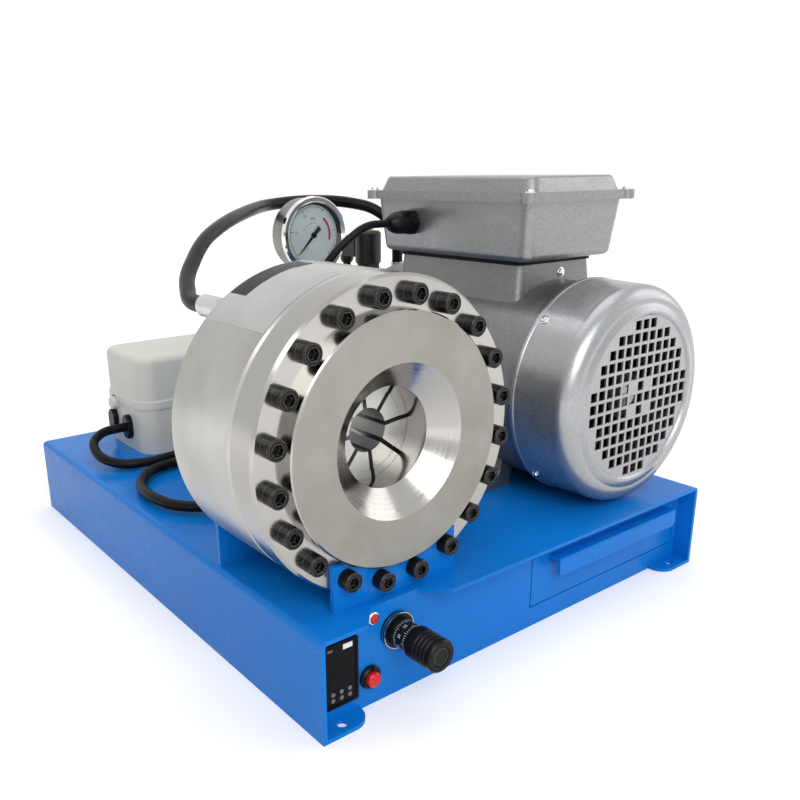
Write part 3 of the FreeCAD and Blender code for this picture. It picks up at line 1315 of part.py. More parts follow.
def valve_block():
    block = box(BLOCK_X0, BLOCK_X1, BLOCK_Y0, BLOCK_Y1, BLOCK_Z0, block_z1())
    block = block.makeChamfer(2.0, block.Edges)
    ports = []
    for point, axis in block_ports():
        start = V(*point) - V(*axis) * PORT_DEPTH
        ports.append(Part.makeCylinder(PORT_R, PORT_DEPTH + 1, start, V(*axis)))
    ports.append(rod_z(GAUGE_X, (BLOCK_Y0 + BLOCK_Y1) / 2, GAUGE_STEM_R - 2 + THREAD_GAP,
                       block_z1() - GAUGE_THREAD - 1, block_z1() + 1))
    return block.cut(group(ports))


def valve_plug_end():
    """Where the cable leaves the valve's plug."""
    return VALVE_X, (BLOCK_Y0 + BLOCK_Y1) / 2 + VALVE_PLUG_Y, block_z1() + VALVE_PLUG_LIFT


def solenoid_valve():
    """Cartridge valve with its coil, brass cap nut and rear plug with a downward cable gland."""
    x = VALVE_X
    y = (BLOCK_Y0 + BLOCK_Y1) / 2
    z = block_z1()
    low = z + VALVE_HEX_T
    high = low + VALVE_COIL_H
    r = VALVE_COIL_R
    hexa = hexagon_rod("z", (x, y), 30, z, low)
    coil = turned("z", (x, y), (
        (0, low - 1), (r - 2, low - 1), (r, low + 2), (r, high - 3), (r - 3, high), (0, high)))
    cap = turned("z", (x, y), ((0, high - 1), (8, high - 1), (8, high + 8), (6, high + 10), (0, high + 10)))
    end = valve_plug_end()
    plug = box(x - VALVE_PLUG_HALF, x + VALVE_PLUG_HALF, y + r - 4, end[1] + VALVE_PLUG_HALF,
               low + 8, low + 36)
    plug = round_edges(plug, 3, "z")
    gland = turned("z", (end[0], end[1]), (
        (0, end[2]), (CABLE_R + 2, end[2]), (CABLE_R + 4, low + 2), (CABLE_R + 4, low + 9), (0, low + 9)))
    return hexa.multiFuse([coil, cap, plug, gland]).removeSplitter()


def gauge_case():
    """Gauge housing with bezel, dial floor, stem and hexagon."""
    x, z = GAUGE_X, GAUGE_Z
    y0, y1 = GAUGE_Y0, GAUGE_Y1
    well = y0 + GAUGE_WELL
    body = turned("y", (x, z), (
        (GAUGE_DIAL_R, y0 + 1), (GAUGE_DIAL_R + 1.5, y0), (GAUGE_R - 1.5, y0), (GAUGE_R, y0 + 1.5),
        (GAUGE_R, y0 + GAUGE_BEZEL_D), (GAUGE_CASE_R, y0 + GAUGE_BEZEL_D + 1), (GAUGE_CASE_R, y1 - 4),
        (GAUGE_CASE_R - 1.2, y1 - 1.2, GAUGE_CASE_R - 4, y1), (0, y1), (0, well), (GAUGE_DIAL_R, well)))
    stem_y = (BLOCK_Y0 + BLOCK_Y1) / 2
    stem = rod_z(x, stem_y, GAUGE_STEM_R, block_z1(), z - GAUGE_CASE_R + 12)
    nut = hexagon_rod("z", (x, stem_y), 20, block_z1(), block_z1() + 6)
    stub = rod_z(x, stem_y, GAUGE_STEM_R - 2, block_z1() - GAUGE_THREAD, block_z1() + 1)
    case = body.multiFuse([stem, nut, stub]).removeSplitter()
    pin_hole = rod_y(x, z, 1.2 + SHAFT_FIT, well - 1, well + 5)
    return case.cut(pin_hole)


def gauge_needle():
    """Pointer with a broad tail on a pin, shown at no pressure."""
    x, z = GAUGE_X, GAUGE_Z
    y = GAUGE_Y0 + GAUGE_WELL - 3
    blade = prism(((x - NEEDLE_TAIL, y, z - 3.5), (x, y, z - 2), (x + NEEDLE_LEN, y, z - 0.5),
                   (x + NEEDLE_LEN, y, z + 0.5), (x, y, z + 2), (x - NEEDLE_TAIL, y, z + 3.5)), (0, 1, 0))
    boss = rod_y(x, z, 4, y - 0.5, y + 1.5)
    pin = rod_y(x, z, 1.2, y, GAUGE_Y0 + GAUGE_WELL + 4)
    needle = blade.multiFuse([boss, pin]).removeSplitter()
    needle.rotate(V(x, 0, z), V(0, -1, 0), NEEDLE_REST)
    return needle


def gauge_glass():
    y = GAUGE_Y0 + 1.5
    return rod_y(GAUGE_X, GAUGE_Z, GAUGE_DIAL_R - 0.05, y, y + 1.5)


# Hoses and their fittings

def block_ports():
    """Ports of the valve block: place and outward direction."""
    y, z = LEFT_PORT
    return (((BLOCK_X0, y, z), (-1, 0, 0)), ((BLOCK_X1, ELBOW_Y, RIGHT_PORT_Z), (1, 0, 0)))


def port_stub(point, axis):
    """Threaded end that sits in a port."""
    line = V(*axis)
    return Part.makeCylinder(PORT_R - THREAD_GAP, PORT_DEPTH, V(*point) - line * (PORT_DEPTH - 3), line)


def straight_fitting(point, axis, length):
    """Hexagon on a face, with the ferrule of the hose end."""
    start = V(*point)
    line = V(*axis)
    t = FITTING_HEX_T
    if axis[1]:
        nut = hexagon_rod("y", (start.x, start.z), FITTING_AF, start.y, start.y + t)
    else:
        nut = hexagon_rod("x", (start.y, start.z), FITTING_AF, *sorted((start.x, start.x + t * axis[0])))
    ferrule = Part.makeCylinder(HOSE_FERRULE_R, length - t + 1, start + line * (t - 1), line)
    return port_stub(point, axis).multiFuse([nut, ferrule]).removeSplitter()


def elbow_fitting(point, axis):
    """Elbow from the block's right face up to the pressure hose."""
    x0, y, z = point
    t = FITTING_HEX_T
    r = PORT_R + 3
    nut = hexagon_rod("x", (y, z), FITTING_AF, x0, x0 + t)
    arm = rod_x(y, z, r, x0 + t - 1, ELBOW_X)
    ball = Part.makeSphere(r, V(ELBOW_X, y, z))
    riser = rod_z(ELBOW_X, y, r, z, z + r + 2)
    swivel = hexagon_rod("z", (ELBOW_X, y), FITTING_AF, z + r + 1, z + r + 9)
    ferrule = rod_z(ELBOW_X, y, HOSE_FERRULE_R, z + r + 8, z + ELBOW_H)
    return port_stub(point, axis).multiFuse([nut, arm, ball, riser, swivel, ferrule]).removeSplitter()


def hose_fittings():
    fittings = []
    for angle, radius in (CLOSE_PORT, OPEN_PORT):
        x, z = head_spot(angle, radius)
        fittings.append(straight_fitting((x, CYL_REAR_Y, z), (0, 1, 0), HEAD_FITTING_LEN))
    left, right = block_ports()
    fittings.append(straight_fitting(*left, BLOCK_FITTING_LEN))
    fittings.append(elbow_fitting(*right))
    return group(fittings)


# Starter box

def starter_shape(inset, z0, z1):
    r = STARTER_R - inset
    return rounded_block(STARTER_X0 + inset, STARTER_X1 - inset, STARTER_Y0 + inset,
                         STARTER_Y1 - inset, z0, z1, r)


def starter_base():
    outer = starter_shape(0, TOP_Z, STARTER_SEAM_Z)
    room = starter_shape(STARTER_WALL, TOP_Z + STARTER_WALL, STARTER_SEAM_Z + 1)
    cuts = [room]
    for y, z in GROMMET_YZ:
        cuts.append(oval_rod(y, z, GROMMET_W / 2 - 3, GROMMET_H / 2 - 3, STARTER_X0 - 1, STARTER_X0 + 5))
    cuts.append(rod_y(MOTOR_ENTRY_X, ENTRY_Z, ENTRY_R - 3, STARTER_Y0 - 1, STARTER_Y0 + 5))
    return outer.cut(group(cuts))


def oval_rod(y, z, half_w, half_h, x0, x1):
    """Upright oval bar along X."""
    shape = box(x0, x1, y - half_w, y + half_w, z - half_h + half_w, z + half_h - half_w)
    ends = [rod_x(y, z + s * (half_h - half_w), half_w, x0, x1) for s in (-1, 1)]
    return shape.multiFuse(ends).removeSplitter()


def starter_lid():
    """Domed lid with a proud rim at the seam and the round closing screw at its notch."""
    z0 = STARTER_SEAM_Z
    outer = starter_shape(0, z0, STARTER_TOP_Z)
    upper = [e for e in outer.Edges if abs(e.CenterOfMass.z - STARTER_TOP_Z) < 1e-3]
    outer = outer.makeFillet(9.0, upper)
    rim = starter_shape(-STARTER_RIM, z0, z0 + STARTER_RIM_H)
    rim_top = [e for e in rim.Edges if abs(e.CenterOfMass.z - z0 - STARTER_RIM_H) < 1e-3]
    rim = rim.makeFillet(1.8, rim_top)
    room = starter_shape(STARTER_WALL, z0 - 1, STARTER_TOP_Z - STARTER_WALL)
    notch_r = STARTER_SCREW_R + 2
    notch = rod_x(STARTER_SCREW_Y, STARTER_SCREW_Z, notch_r, STARTER_X0 - STARTER_RIM - 1,
                  STARTER_X0 + STARTER_WALL + 1)
    lid = outer.fuse(rim).removeSplitter().cut(group([room, notch]))
    return group([lid, starter_screw()])


def starter_screw():
    x0 = STARTER_X0 - 8
    r = STARTER_SCREW_R
    return turned("x", (STARTER_SCREW_Y, STARTER_SCREW_Z), (
        (0, x0), (r - 2.5, x0), (r - 0.7, x0 + 0.7, r, x0 + 2.5), (r, STARTER_X0), (0, STARTER_X0)))


def starter_grommets():
    """Oval grommets on the left side, a round entry in front and two elbows on the top plate."""
    pieces = []
    x = STARTER_X0
    for y, z in GROMMET_YZ:
        flange = oval_rod(y, z, GROMMET_W / 2, GROMMET_H / 2, x - GROMMET_T, x)
        outer = [e for e in flange.Edges if abs(e.CenterOfMass.x - x + GROMMET_T) < 1e-3]
        flange = flange.makeFillet(2.5, outer)
        plug = oval_rod(y, z, GROMMET_W / 2 - 3.3, GROMMET_H / 2 - 3.3, x - 1, x + 5)
        pieces.append(flange.fuse(plug).removeSplitter())
    front = STARTER_Y0
    pieces.append(turned("y", (MOTOR_ENTRY_X, ENTRY_Z), (
        (0, front + 5), (ENTRY_R - 3.3, front + 5), (ENTRY_R - 3.3, front), (ENTRY_R, front),
        (ENTRY_R - 1, front - 4), (ENTRY_R - 4, front - GROMMET_T), (0, front - GROMMET_T))))
    pieces += [cable_elbow(*spot) for spot in loop_drops()]
    return group(pieces)


def loop_drops():
    """Where the two ends of the looped cable turn down through the top plate."""
    return [(x + FLOOR_ELBOW_REACH, y, z) for x, y, z in loop_ends()]


def loop_ends():
    """Both ends of the looped cable, level over the top plate."""
    return [(HEAD_X + dx, y, TOP_Z + LOOP_LIFT) for dx, y in LOOP_ENDS]


def cable_elbow(x, y, z):
    """Low elbow that leads a cable down through the top plate."""
    r = CABLE_R + 2
    level = rod_x(y, z, r, x - FLOOR_ELBOW_REACH, x)
    ball = Part.makeSphere(r, V(x, y, z))
    drop = rod_z(x, y, CABLE_R - RUN_GAP, UNDER_TOP - 12, z)
    base = rod_z(x, y, r + 4, TOP_Z, TOP_Z + 3)
    upright = rod_z(x, y, r, TOP_Z, z)
    return level.multiFuse([ball, drop, base, upright]).removeSplitter()


# Cords

def valve_cable():
    y, z = GROMMET_YZ[1]
    route = led(VALVE_CABLE_ROUTE, (STARTER_X0 - GROMMET_T, y, z), valve_plug_end(), 10, 13)
    return route_tube("valve_cable", route, CABLE_R)


def loop_cable():
    return route_tube("loop_cable", led(LOOP_CABLE_ROUTE, *loop_ends(), 1, 7), CABLE_R)


def motor_cable():
    start = (gland_end_x(), GLAND_Y, GLAND_Z)
    end = (MOTOR_ENTRY_X, STARTER_Y0 - GROMMET_T, ENTRY_Z)
    return route_tube("motor_cable", led(MOTOR_CABLE_ROUTE, start, end, 1, 8), MOTOR_CABLE_R)


def behind_head(dx, dz):
    """Where a hose leaves its fitting behind the head."""
    return HEAD_X + dx, CYL_REAR_Y + HEAD_FITTING_LEN, HEAD_Z + dz


def pressure_hose():
    end = (ELBOW_X, ELBOW_Y, RIGHT_PORT_Z + ELBOW_H)
    route = led(PRESSURE_HOSE_ROUTE, behind_head(*PRESSURE_START), end, 1, 5)
    return route_tube("pressure_hose", route, HOSE_R)


def return_hose():
    end = (BLOCK_X0 - BLOCK_FITTING_LEN, *LEFT_PORT)
    route = led(RETURN_HOSE_ROUTE, behind_head(*RETURN_START), end, 1, 5)
    return route_tube("return_hose", route, HOSE_R)


NODES = {
    "base_shell": base_shell,
    "oil_tank": oil_tank,
    "filler_breather": filler_breather,
    "front_bracket": front_bracket,
    "rear_bracket": rear_bracket,
    "head_cylinder": head_cylinder,
    "head_cover": head_cover,
    "head_screws": head_screws,
    "piston": piston,
    "piston_seals": piston_seals,
    "cylinder_seals": cylinder_seals,
    "stroke_arm": stroke_arm,
    "dial_barrel": dial_barrel,
    "dial_thimble": dial_thimble,
    "dial_spindle": dial_spindle,
    "limit_switch": limit_switch,
    "display_panel": display_panel,
    "lamp_bezel": lamp_bezel,
    "lamp_lens": lamp_lens,
    "button_bezel": button_bezel,
    "button_cap": button_cap,
    "drawer_front": drawer_front,
    "drawer_tray": drawer_tray,
    "drawer_runners": drawer_runners,
    "motor_frame": motor_frame,
    "motor_bolts": motor_bolts,
    "end_shields": end_shields,
    "rotor_shaft": rotor_shaft,
    "cooling_fan": cooling_fan,
    "fan_cowl": fan_cowl,
    "terminal_box": terminal_box,
    "terminal_gasket": terminal_gasket,
    "terminal_lid": terminal_lid,
    "cable_gland": cable_gland,
    "bell_housing": bell_housing,
    "shaft_coupling": shaft_coupling,
    "gear_pump": gear_pump,
    "suction_pipe": suction_pipe,
    "valve_block": valve_block,
    "solenoid_valve": solenoid_valve,
    "gauge_case": gauge_case,
    "gauge_needle": gauge_needle,
    "gauge_glass": gauge_glass,
    "hose_fittings": hose_fittings,
    "pressure_hose": pressure_hose,
    "return_hose": return_hose,
    "starter_base": starter_base,
    "starter_lid": starter_lid,
    "starter_grommets": starter_grommets,
    "valve_cable": valve_cable,
    "loop_cable": loop_cable,
    "motor_cable": motor_cable,
}


def main():
    os.makedirs("parts", exist_ok=True)
    shapes = {name: make() for name, make in NODES.items()}
    for number in range(1, DIE_N + 1):
        shapes[f"die_{number}"] = die(number)
    for name, shape in shapes.items():
        if not shape.isValid() or shape.Volume <= 0:
            print("faulty solid in", name, shape.isValid(), shape.Volume)
        shape.exportStep(os.path.join("parts", name + ".step"))
    print(len(shapes), "nodes written")


main()
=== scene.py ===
import json
import math

import bmesh
import bpy
from mathutils import Matrix, Vector


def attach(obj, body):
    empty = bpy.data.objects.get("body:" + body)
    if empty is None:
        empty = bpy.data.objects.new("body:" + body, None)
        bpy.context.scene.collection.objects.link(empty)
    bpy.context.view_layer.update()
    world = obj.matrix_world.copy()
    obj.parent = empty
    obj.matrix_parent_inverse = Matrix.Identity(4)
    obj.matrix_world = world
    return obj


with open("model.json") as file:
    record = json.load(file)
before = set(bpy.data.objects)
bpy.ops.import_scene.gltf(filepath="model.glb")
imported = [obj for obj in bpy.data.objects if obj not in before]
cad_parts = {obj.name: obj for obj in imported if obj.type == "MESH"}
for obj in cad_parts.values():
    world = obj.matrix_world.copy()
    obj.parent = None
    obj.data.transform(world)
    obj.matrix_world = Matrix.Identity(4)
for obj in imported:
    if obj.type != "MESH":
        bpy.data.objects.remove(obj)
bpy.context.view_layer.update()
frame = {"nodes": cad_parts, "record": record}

MM = 0.001

# Camera, solved from the photograph; places in metres
CAMERA_PLACE = Vector((-0.596, -0.8116, 0.4538))
CAMERA_FORWARD = Vector((0.5804, 0.7525, -0.3112))
CAMERA_UP = Vector((0.1999, 0.2388, 0.9503))
FRAME_PX = 800
FOCAL_PX = 831.86
CENTRE_PX = (359.24, 441.84)
SENSOR_MM = 36.0

# Light panels: place and target in metres, width and height, watts
LIGHTS = {
    "key": ((-1.1, -2.4, 1.8), (-0.05, -0.1, 0.2), (2.0, 1.8), 50),
    "top": ((0.2, 0.4, 2.6), (0.0, 0.0, 0.2), (2.6, 2.0), 18),
    "side": ((2.4, -1.2, 1.3), (0.1, -0.1, 0.2), (1.4, 1.8), 12),
}

# Soft light of the room: level at each share of the way from straight down to straight up
SKY_LEVELS = ((0.0, 0.55), (0.44, 0.40), (0.50, 0.16), (0.60, 0.22), (0.68, 0.85), (1.0, 1.0))
SKY_TINT = (1.0, 0.99, 0.98)
SKY_STRENGTH = 0.75
WHITE = (1, 1, 1, 1)

# Floor, in metres: its half width, and how it fades to white away from the machine
FLOOR_REACH = 6.0
FLOOR_FADE = (0.5, 1.7)
FLOOR_GLOW = (0.20, 0.62)


def box_of(node):
    """Low and high corner of a CAD node in millimetres, rounded to a tenth because its mesh has facets."""
    piece = frame["nodes"][node]
    points = [piece.matrix_world @ v.co for v in piece.data.vertices]
    return [[round(end(p[k] for p in points) / MM, 1) for k in range(3)] for end in (min, max)]


def width_of(node):
    low, high = box_of(node)
    return high[0] - low[0]


def axis_of(joint):
    """X and Z in millimetres of a joint's axis, which runs along Y."""
    rows = {row["name"]: row for row in frame["record"]["behaviour"]["joints"]}
    x, _, z = rows[joint]["pos_m"]
    return round(x / MM, 1), round(z / MM, 1)


# Head, in millimetres like all that follows, with its label and dark strip;
# a turn is an angle in degrees, from +X towards +Z
COVER_LOW, COVER_HIGH = box_of("head_cover")
HEAD_X = (COVER_LOW[0] + COVER_HIGH[0]) / 2
HEAD_Z = (COVER_LOW[2] + COVER_HIGH[2]) / 2
HEAD_R = (COVER_HIGH[2] - COVER_LOW[2]) / 2
COVER_DISC_Y = COVER_LOW[1]
MOUTH_R = 68.0
LATHE_LINES = 2600.0        # rings to a metre
LABEL_Y = (-262.0, -170.0)
LABEL_TURN = (100.0, 135.5)
LABEL_LIFT = 0.03
LABEL_T = 0.12
STRIP_Y = (-196.0, -170.0)
STRIP_TURN = (92.0, 122.6)
STRIP_LIFT = LABEL_LIFT + LABEL_T + 0.01
STRIP_T = 0.08

# Gauge
GAUGE_X, GAUGE_Z = axis_of("needle_turn")
GAUGE_Y = box_of("gauge_case")[0][1]
BEZEL_LEN = 7.5
GAUGE_FLOOR_Y = GAUGE_Y + 8.0
CARD_Y = GAUGE_FLOOR_Y - 0.35
CARD_R = 40.5
CARD_HOLE_R = 1.7
RIM_OUTER_R, RIM_FRONT_R, RIM_FOOT_R = 43.9, 42.8, 40.2
RIM_DEPTH = 4.6
RIM_CLEAR = 0.1
INK_T = 0.06
SCALE_TURN = (225.0, -45.0)
SCALE_R = 38.0
SCALE_LINE_W = 0.5
DIVISIONS = 50
MAJOR_EVERY = 10
LAST_FIGURE = 20
MAJOR_TICK_R, MINOR_TICK_R = 33.0, 35.5
MAJOR_TICK_HALF, MINOR_TICK_HALF = 0.45, 0.2
TICK_MIDDLE_R = 36.0
FIGURE_R = 28.5
FIGURE_SIZE = 5.6
DOT_ROW_R = 16.5
DOT_ROW_TURNS = range(150, 61, -18)
DOT_R, DOT_HOLE_R = 0.9, 0.1
UNIT_LIFT = 22.0
UNIT_SIZE = 5.0
RED_ARC_TURN = (52.0, -15.0)
RED_ARC_R = (26.3, 29.7)
RED_ARC_T = 0.07

# Diameter dial: two rows of graduations on its sleeve, figures between them, two rings on its collar
DIAL_X, DIAL_Z = axis_of("thimble_turn")
SLEEVE_R = 13.0
COLLAR_R = width_of("dial_barrel") / 2
GRADUATIONS = 40
LONG_EVERY = 5
LONG_MARK, SHORT_MARK = 3.6, 2.2
MARK_HALF_W = 0.18
MARK_SINK, MARK_RISE = 0.05, 0.07
MARKS_Y = (-341.0, -327.0)
SLEEVE_FIGURES = GRADUATIONS // LONG_EVERY
SLEEVE_FIGURE_SIZE = 4.2
COLLAR_RINGS_Y = (-317.6, -320.2)
RING_HALF_W = 0.35
RING_SINK, RING_RISE = 0.3, 0.12

# Display: a read-out and a printed bar, sunk in its floor and proud of it, and round keys upon it
DISPLAY_FLOOR_Y = box_of("display_panel")[0][1] + 0.8
DISPLAY_SINK = 0.05
READ_OUT_X, READ_OUT_Z, READ_OUT_RISE = (-234.7, -224.7), (69.2, 74.0), 0.08
BAR_X, BAR_Z, BAR_RISE = (-251.0, -245.6), (71.0, 73.2), 0.06
KEYS_X, KEYS_Z, KEY_RISE = (-246.0, -237.0, -228.0), (23.0, 29.0), 0.12
KEY_R, KEY_HOLE_R = 2.1, 0.2

# Motor: its screws as radius and height of the head, and its rating plate
MOTOR_X, MOTOR_Z = axis_of("rotor_spin")
FRAME_R = width_of("motor_frame") / 2
COWL_R = FRAME_R + 6.0
COWL_SCREW_Y = box_of("fan_cowl")[1][1] - 9.5
COWL_SCREW_TURNS = range(45, 360, 90)
COWL_SCREW = (3.6, 2.6)
LID_LOW, LID_HIGH = box_of("terminal_lid")
LID_LUG_R = 9.0
LID_LUG_T = 5.0
LID_SCREW = (4.4, 3.4)
NECK_SCREW_PLACE = (174.0, -192.8, 340.0)
NECK_SCREW_OUT = (0, -1, 0.07)
NECK_SCREW = (4.2, 3.0)
PLATE_Y = (-120.0, -36.0)
PLATE_TURN = (-16.0, 16.0)
PLATE_LIFT = 0.05
PLATE_T = 0.5
RIVET_R = 1.8
RIVET_INSET_Y = 5.0
RIVET_INSET_TURN = 2.2

# Valve: height where its yellow cap nut starts
VALVE_CAP_Z = box_of("solenoid_valve")[1][2] - 9.8


# Camera, light and floor

def make_camera():
    data = bpy.data.cameras.new("camera")
    camera = bpy.data.objects.new("camera", data)
    bpy.context.scene.collection.objects.link(camera)
    data.sensor_width = SENSOR_MM
    data.lens = FOCAL_PX * SENSOR_MM / FRAME_PX
    data.shift_x = 0.5 - CENTRE_PX[0] / FRAME_PX
    data.shift_y = CENTRE_PX[1] / FRAME_PX - 0.5
    forward = CAMERA_FORWARD.normalized()
    right = forward.cross(CAMERA_UP).normalized()
    up = right.cross(forward)
    turn = Matrix((right, up, -forward)).transposed()
    camera.matrix_world = Matrix.Translation(CAMERA_PLACE) @ turn.to_4x4()
    bpy.context.scene.camera = camera


def soft_light(name, place, target, size, watts):
    data = bpy.data.lights.new(name, "AREA")
    data.shape = "RECTANGLE"
    data.size, data.size_y = size
    data.energy = watts
    light = bpy.data.objects.new(name, data)
    bpy.context.scene.collection.objects.link(light)
    light.location = place
    light.rotation_euler = (Vector(target) - Vector(place)).to_track_quat("-Z", "Y").to_euler()


def seen_rays(tree):
    """1 for rays of the camera, of metal and of glass, 0 for those that carry light."""
    path = tree.nodes.new("ShaderNodeLightPath")
    total = path.outputs["Is Camera Ray"]
    for kind in ("Is Glossy Ray", "Is Transmission Ray"):
        either = tree.nodes.new("ShaderNodeMath")
        either.operation = "MAXIMUM"
        tree.links.new(total, either.inputs[0])
        tree.links.new(path.outputs[kind], either.inputs[1])
        total = either.outputs[0]
    return total


def make_world():
    """White to the eye and in metal and glass; a bright sky over a darker band as the soft light."""
    world = bpy.data.worlds.new("studio")
    bpy.context.scene.world = world
    world.use_nodes = True
    tree = world.node_tree
    tree.nodes.clear()
    out = tree.nodes.new("ShaderNodeOutputWorld")
    room = tree.nodes.new("ShaderNodeBackground")
    white = tree.nodes.new("ShaderNodeBackground")
    pick = tree.nodes.new("ShaderNodeMixShader")
    place = tree.nodes.new("ShaderNodeTexCoord")
    split = tree.nodes.new("ShaderNodeSeparateXYZ")
    ramp = tree.nodes.new("ShaderNodeValToRGB")
    height = tree.nodes.new("ShaderNodeMapRange")
    height.inputs["From Min"].default_value = -1.0
    tree.links.new(place.outputs["Generated"], split.inputs[0])
    tree.links.new(split.outputs["Z"], height.inputs["Value"])
    tree.links.new(height.outputs[0], ramp.inputs[0])
    stops = ramp.color_ramp.elements
    stops[0].position = SKY_LEVELS[0][0]
    stops[1].position = SKY_LEVELS[-1][0]
    for position, _ in SKY_LEVELS[1:-1]:
        stops.new(position)
    for stop, (_, level) in zip(stops, SKY_LEVELS):
        stop.color = (*(level * share for share in SKY_TINT), 1)
    tree.links.new(ramp.outputs["Color"], room.inputs["Color"])
    room.inputs["Strength"].default_value = SKY_STRENGTH
    white.inputs["Color"].default_value = WHITE
    tree.links.new(seen_rays(tree), pick.inputs["Fac"])
    tree.links.new(room.outputs[0], pick.inputs[1])
    tree.links.new(white.outputs[0], pick.inputs[2])
    tree.links.new(pick.outputs[0], out.inputs["Surface"])


def make_floor():
    mesh = bpy.data.meshes.new("floor")
    corners = [(x * FLOOR_REACH, y * FLOOR_REACH, 0) for x, y in ((-1, -1), (1, -1), (1, 1), (-1, 1))]
    mesh.from_pydata(corners, [], [(0, 1, 2, 3)])
    floor = bpy.data.objects.new("floor", mesh)
    bpy.context.scene.collection.objects.link(floor)
    surface = Surface("floor_paper", {"Roughness": 0.9, "Specular IOR Level": 0.1})
    surface.colour(surface.noise(3.0), (0.84, 0.84, 0.84), (0.87, 0.87, 0.87))
    far = surface.spread(surface.far_off(), *FLOOR_GLOW, *FLOOR_FADE)
    glow = surface.maths("MULTIPLY", seen_rays(surface.tree), far)
    surface.link(glow, surface.shader.inputs["Emission Strength"])
    surface.shader.inputs["Emission Color"].default_value = WHITE
    mesh.materials.append(surface.material)


# Materials

class Surface:
    """Node material round one Principled shader, with a few patterns to build finishes from."""

    NOISE_BAND = (0.3, 0.7)     # nearly all of a noise lies between these
    NUMBERS = (2, 3)            # sockets of a mix node for two numbers
    COLOURS = (6, 7)            # and for two colours
    MIXED_COLOUR = 2

    def __init__(self, name, constants):
        self.material = bpy.data.materials.new(name)
        self.material.use_nodes = True
        self.tree = self.material.node_tree
        self.shader = self.tree.nodes["Principled BSDF"]
        for socket, value in constants.items():
            self.shader.inputs[socket].default_value = value
        self.place = self.node("ShaderNodeTexCoord").outputs["Object"]

    def node(self, kind, **settings):
        made = self.tree.nodes.new(kind)
        for name, value in settings.items():
            setattr(made, name, value)
        return made

    def link(self, output, socket):
        self.tree.links.new(output, socket)

    def noise(self, scale, detail=3.0, stretch=None):
        """Grain of about 1/scale metres, or longer along the axes where stretch is small."""
        made = self.node("ShaderNodeTexNoise")
        made.inputs["Scale"].default_value = scale
        made.inputs["Detail"].default_value = detail
        vector = self.place
        if stretch:
            mapped = self.node("ShaderNodeMapping")
            mapped.inputs["Scale"].default_value = stretch
            self.link(vector, mapped.inputs["Vector"])
            vector = mapped.outputs[0]
        self.link(vector, made.inputs["Vector"])
        return made.outputs["Fac"]

    def maths(self, operation, first, second):
        made = self.node("ShaderNodeMath", operation=operation)
        for socket, value in zip(made.inputs, (first, second)):
            if isinstance(value, (int, float)):
                socket.default_value = value
            else:
                self.link(value, socket)
        return made.outputs[0]

    def spread(self, value, low, high, start=0.0, end=1.0):
        """Carry a value from start to end over into low to high."""
        made = self.node("ShaderNodeMapRange")
        self.link(value, made.inputs["Value"])
        made.inputs["From Min"].default_value = start
        made.inputs["From Max"].default_value = end
        made.inputs["To Min"].default_value = low
        made.inputs["To Max"].default_value = high
        return made.outputs[0]

    def along(self, axis):
        split = self.node("ShaderNodeSeparateXYZ")
        self.link(self.place, split.inputs[0])
        return split.outputs[axis]

    def past(self, axis, place, half):
        """0 before a place on an axis and 1 past it, with a short ramp between; in millimetres."""
        return self.spread(self.along(axis), 0.0, 1.0, (place - half) * MM, (place + half) * MM)

    def far_off(self):
        """Distance from the machine's middle."""
        made = self.node("ShaderNodeVectorMath", operation="LENGTH")
        self.link(self.place, made.inputs[0])
        return made.outputs["Value"]

    def from_axis(self, x, z):
        """Distance in metres from a line along Y, whose place is in millimetres."""
        across = self.maths("SUBTRACT", self.along("X"), x * MM)
        above = self.maths("SUBTRACT", self.along("Z"), z * MM)
        return self.maths("SQRT", self.maths("ADD", self.maths("MULTIPLY", across, across),
                                             self.maths("MULTIPLY", above, above)), 0.0)

    def edges(self, radius):
        """1 on sharp outer edges and in corners, 0 on open faces; the mask for a painted edge highlight.
        """
        bevel_normal = self.node("ShaderNodeBevel", samples=6)
        bevel_normal.inputs["Radius"].default_value = radius
        plain = self.node("ShaderNodeNewGeometry")
        meet = self.node("ShaderNodeVectorMath", operation="DOT_PRODUCT")
        self.link(bevel_normal.outputs[0], meet.inputs[0])
        self.link(plain.outputs["Normal"], meet.inputs[1])
        return self.spread(meet.outputs["Value"], 1.0, 0.0, 0.90, 0.995)

    def turned(self, x, z, scale):
        """Fine rings about a line along Y, also along its length, as a lathe leaves them."""
        path = self.maths("ADD", self.from_axis(x, z), self.along("Y"))
        made = self.node("ShaderNodeTexNoise", noise_dimensions="1D")
        self.link(path, made.inputs["W"])
        made.inputs["Scale"].default_value = scale
        made.inputs["Detail"].default_value = 4.0
        return made.outputs["Fac"]

    def between(self, share, first, second):
        """Number between two numbers or outputs."""
        mix = self.node("ShaderNodeMix", data_type="FLOAT")
        self.link(share, mix.inputs["Factor"])
        for place, value in zip(self.NUMBERS, (first, second)):
            if isinstance(value, float):
                mix.inputs[place].default_value = value
            else:
                self.link(value, mix.inputs[place])
        return mix.outputs[0]

    def blend(self, share, first, second):
        """Base colour between two colours or outputs."""
        mix = self.node("ShaderNodeMix", data_type="RGBA")
        self.link(share, mix.inputs["Factor"])
        for place, value in zip(self.COLOURS, (first, second)):
            if isinstance(value, tuple):
                mix.inputs[place].default_value = (*value, 1)
            else:
                self.link(value, mix.inputs[place])
        self.link(mix.outputs[self.MIXED_COLOUR], self.shader.inputs["Base Color"])
        return mix.outputs[self.MIXED_COLOUR]

    def colour(self, grain, low, high):
        """Base colour that wanders between two colours with a noise."""
        return self.blend(self.spread(grain, 0.0, 1.0, *self.NOISE_BAND), low, high)

    def roughness(self, grain, low, high):
        self.link(self.spread(grain, low, high, *self.NOISE_BAND), self.shader.inputs["Roughness"])

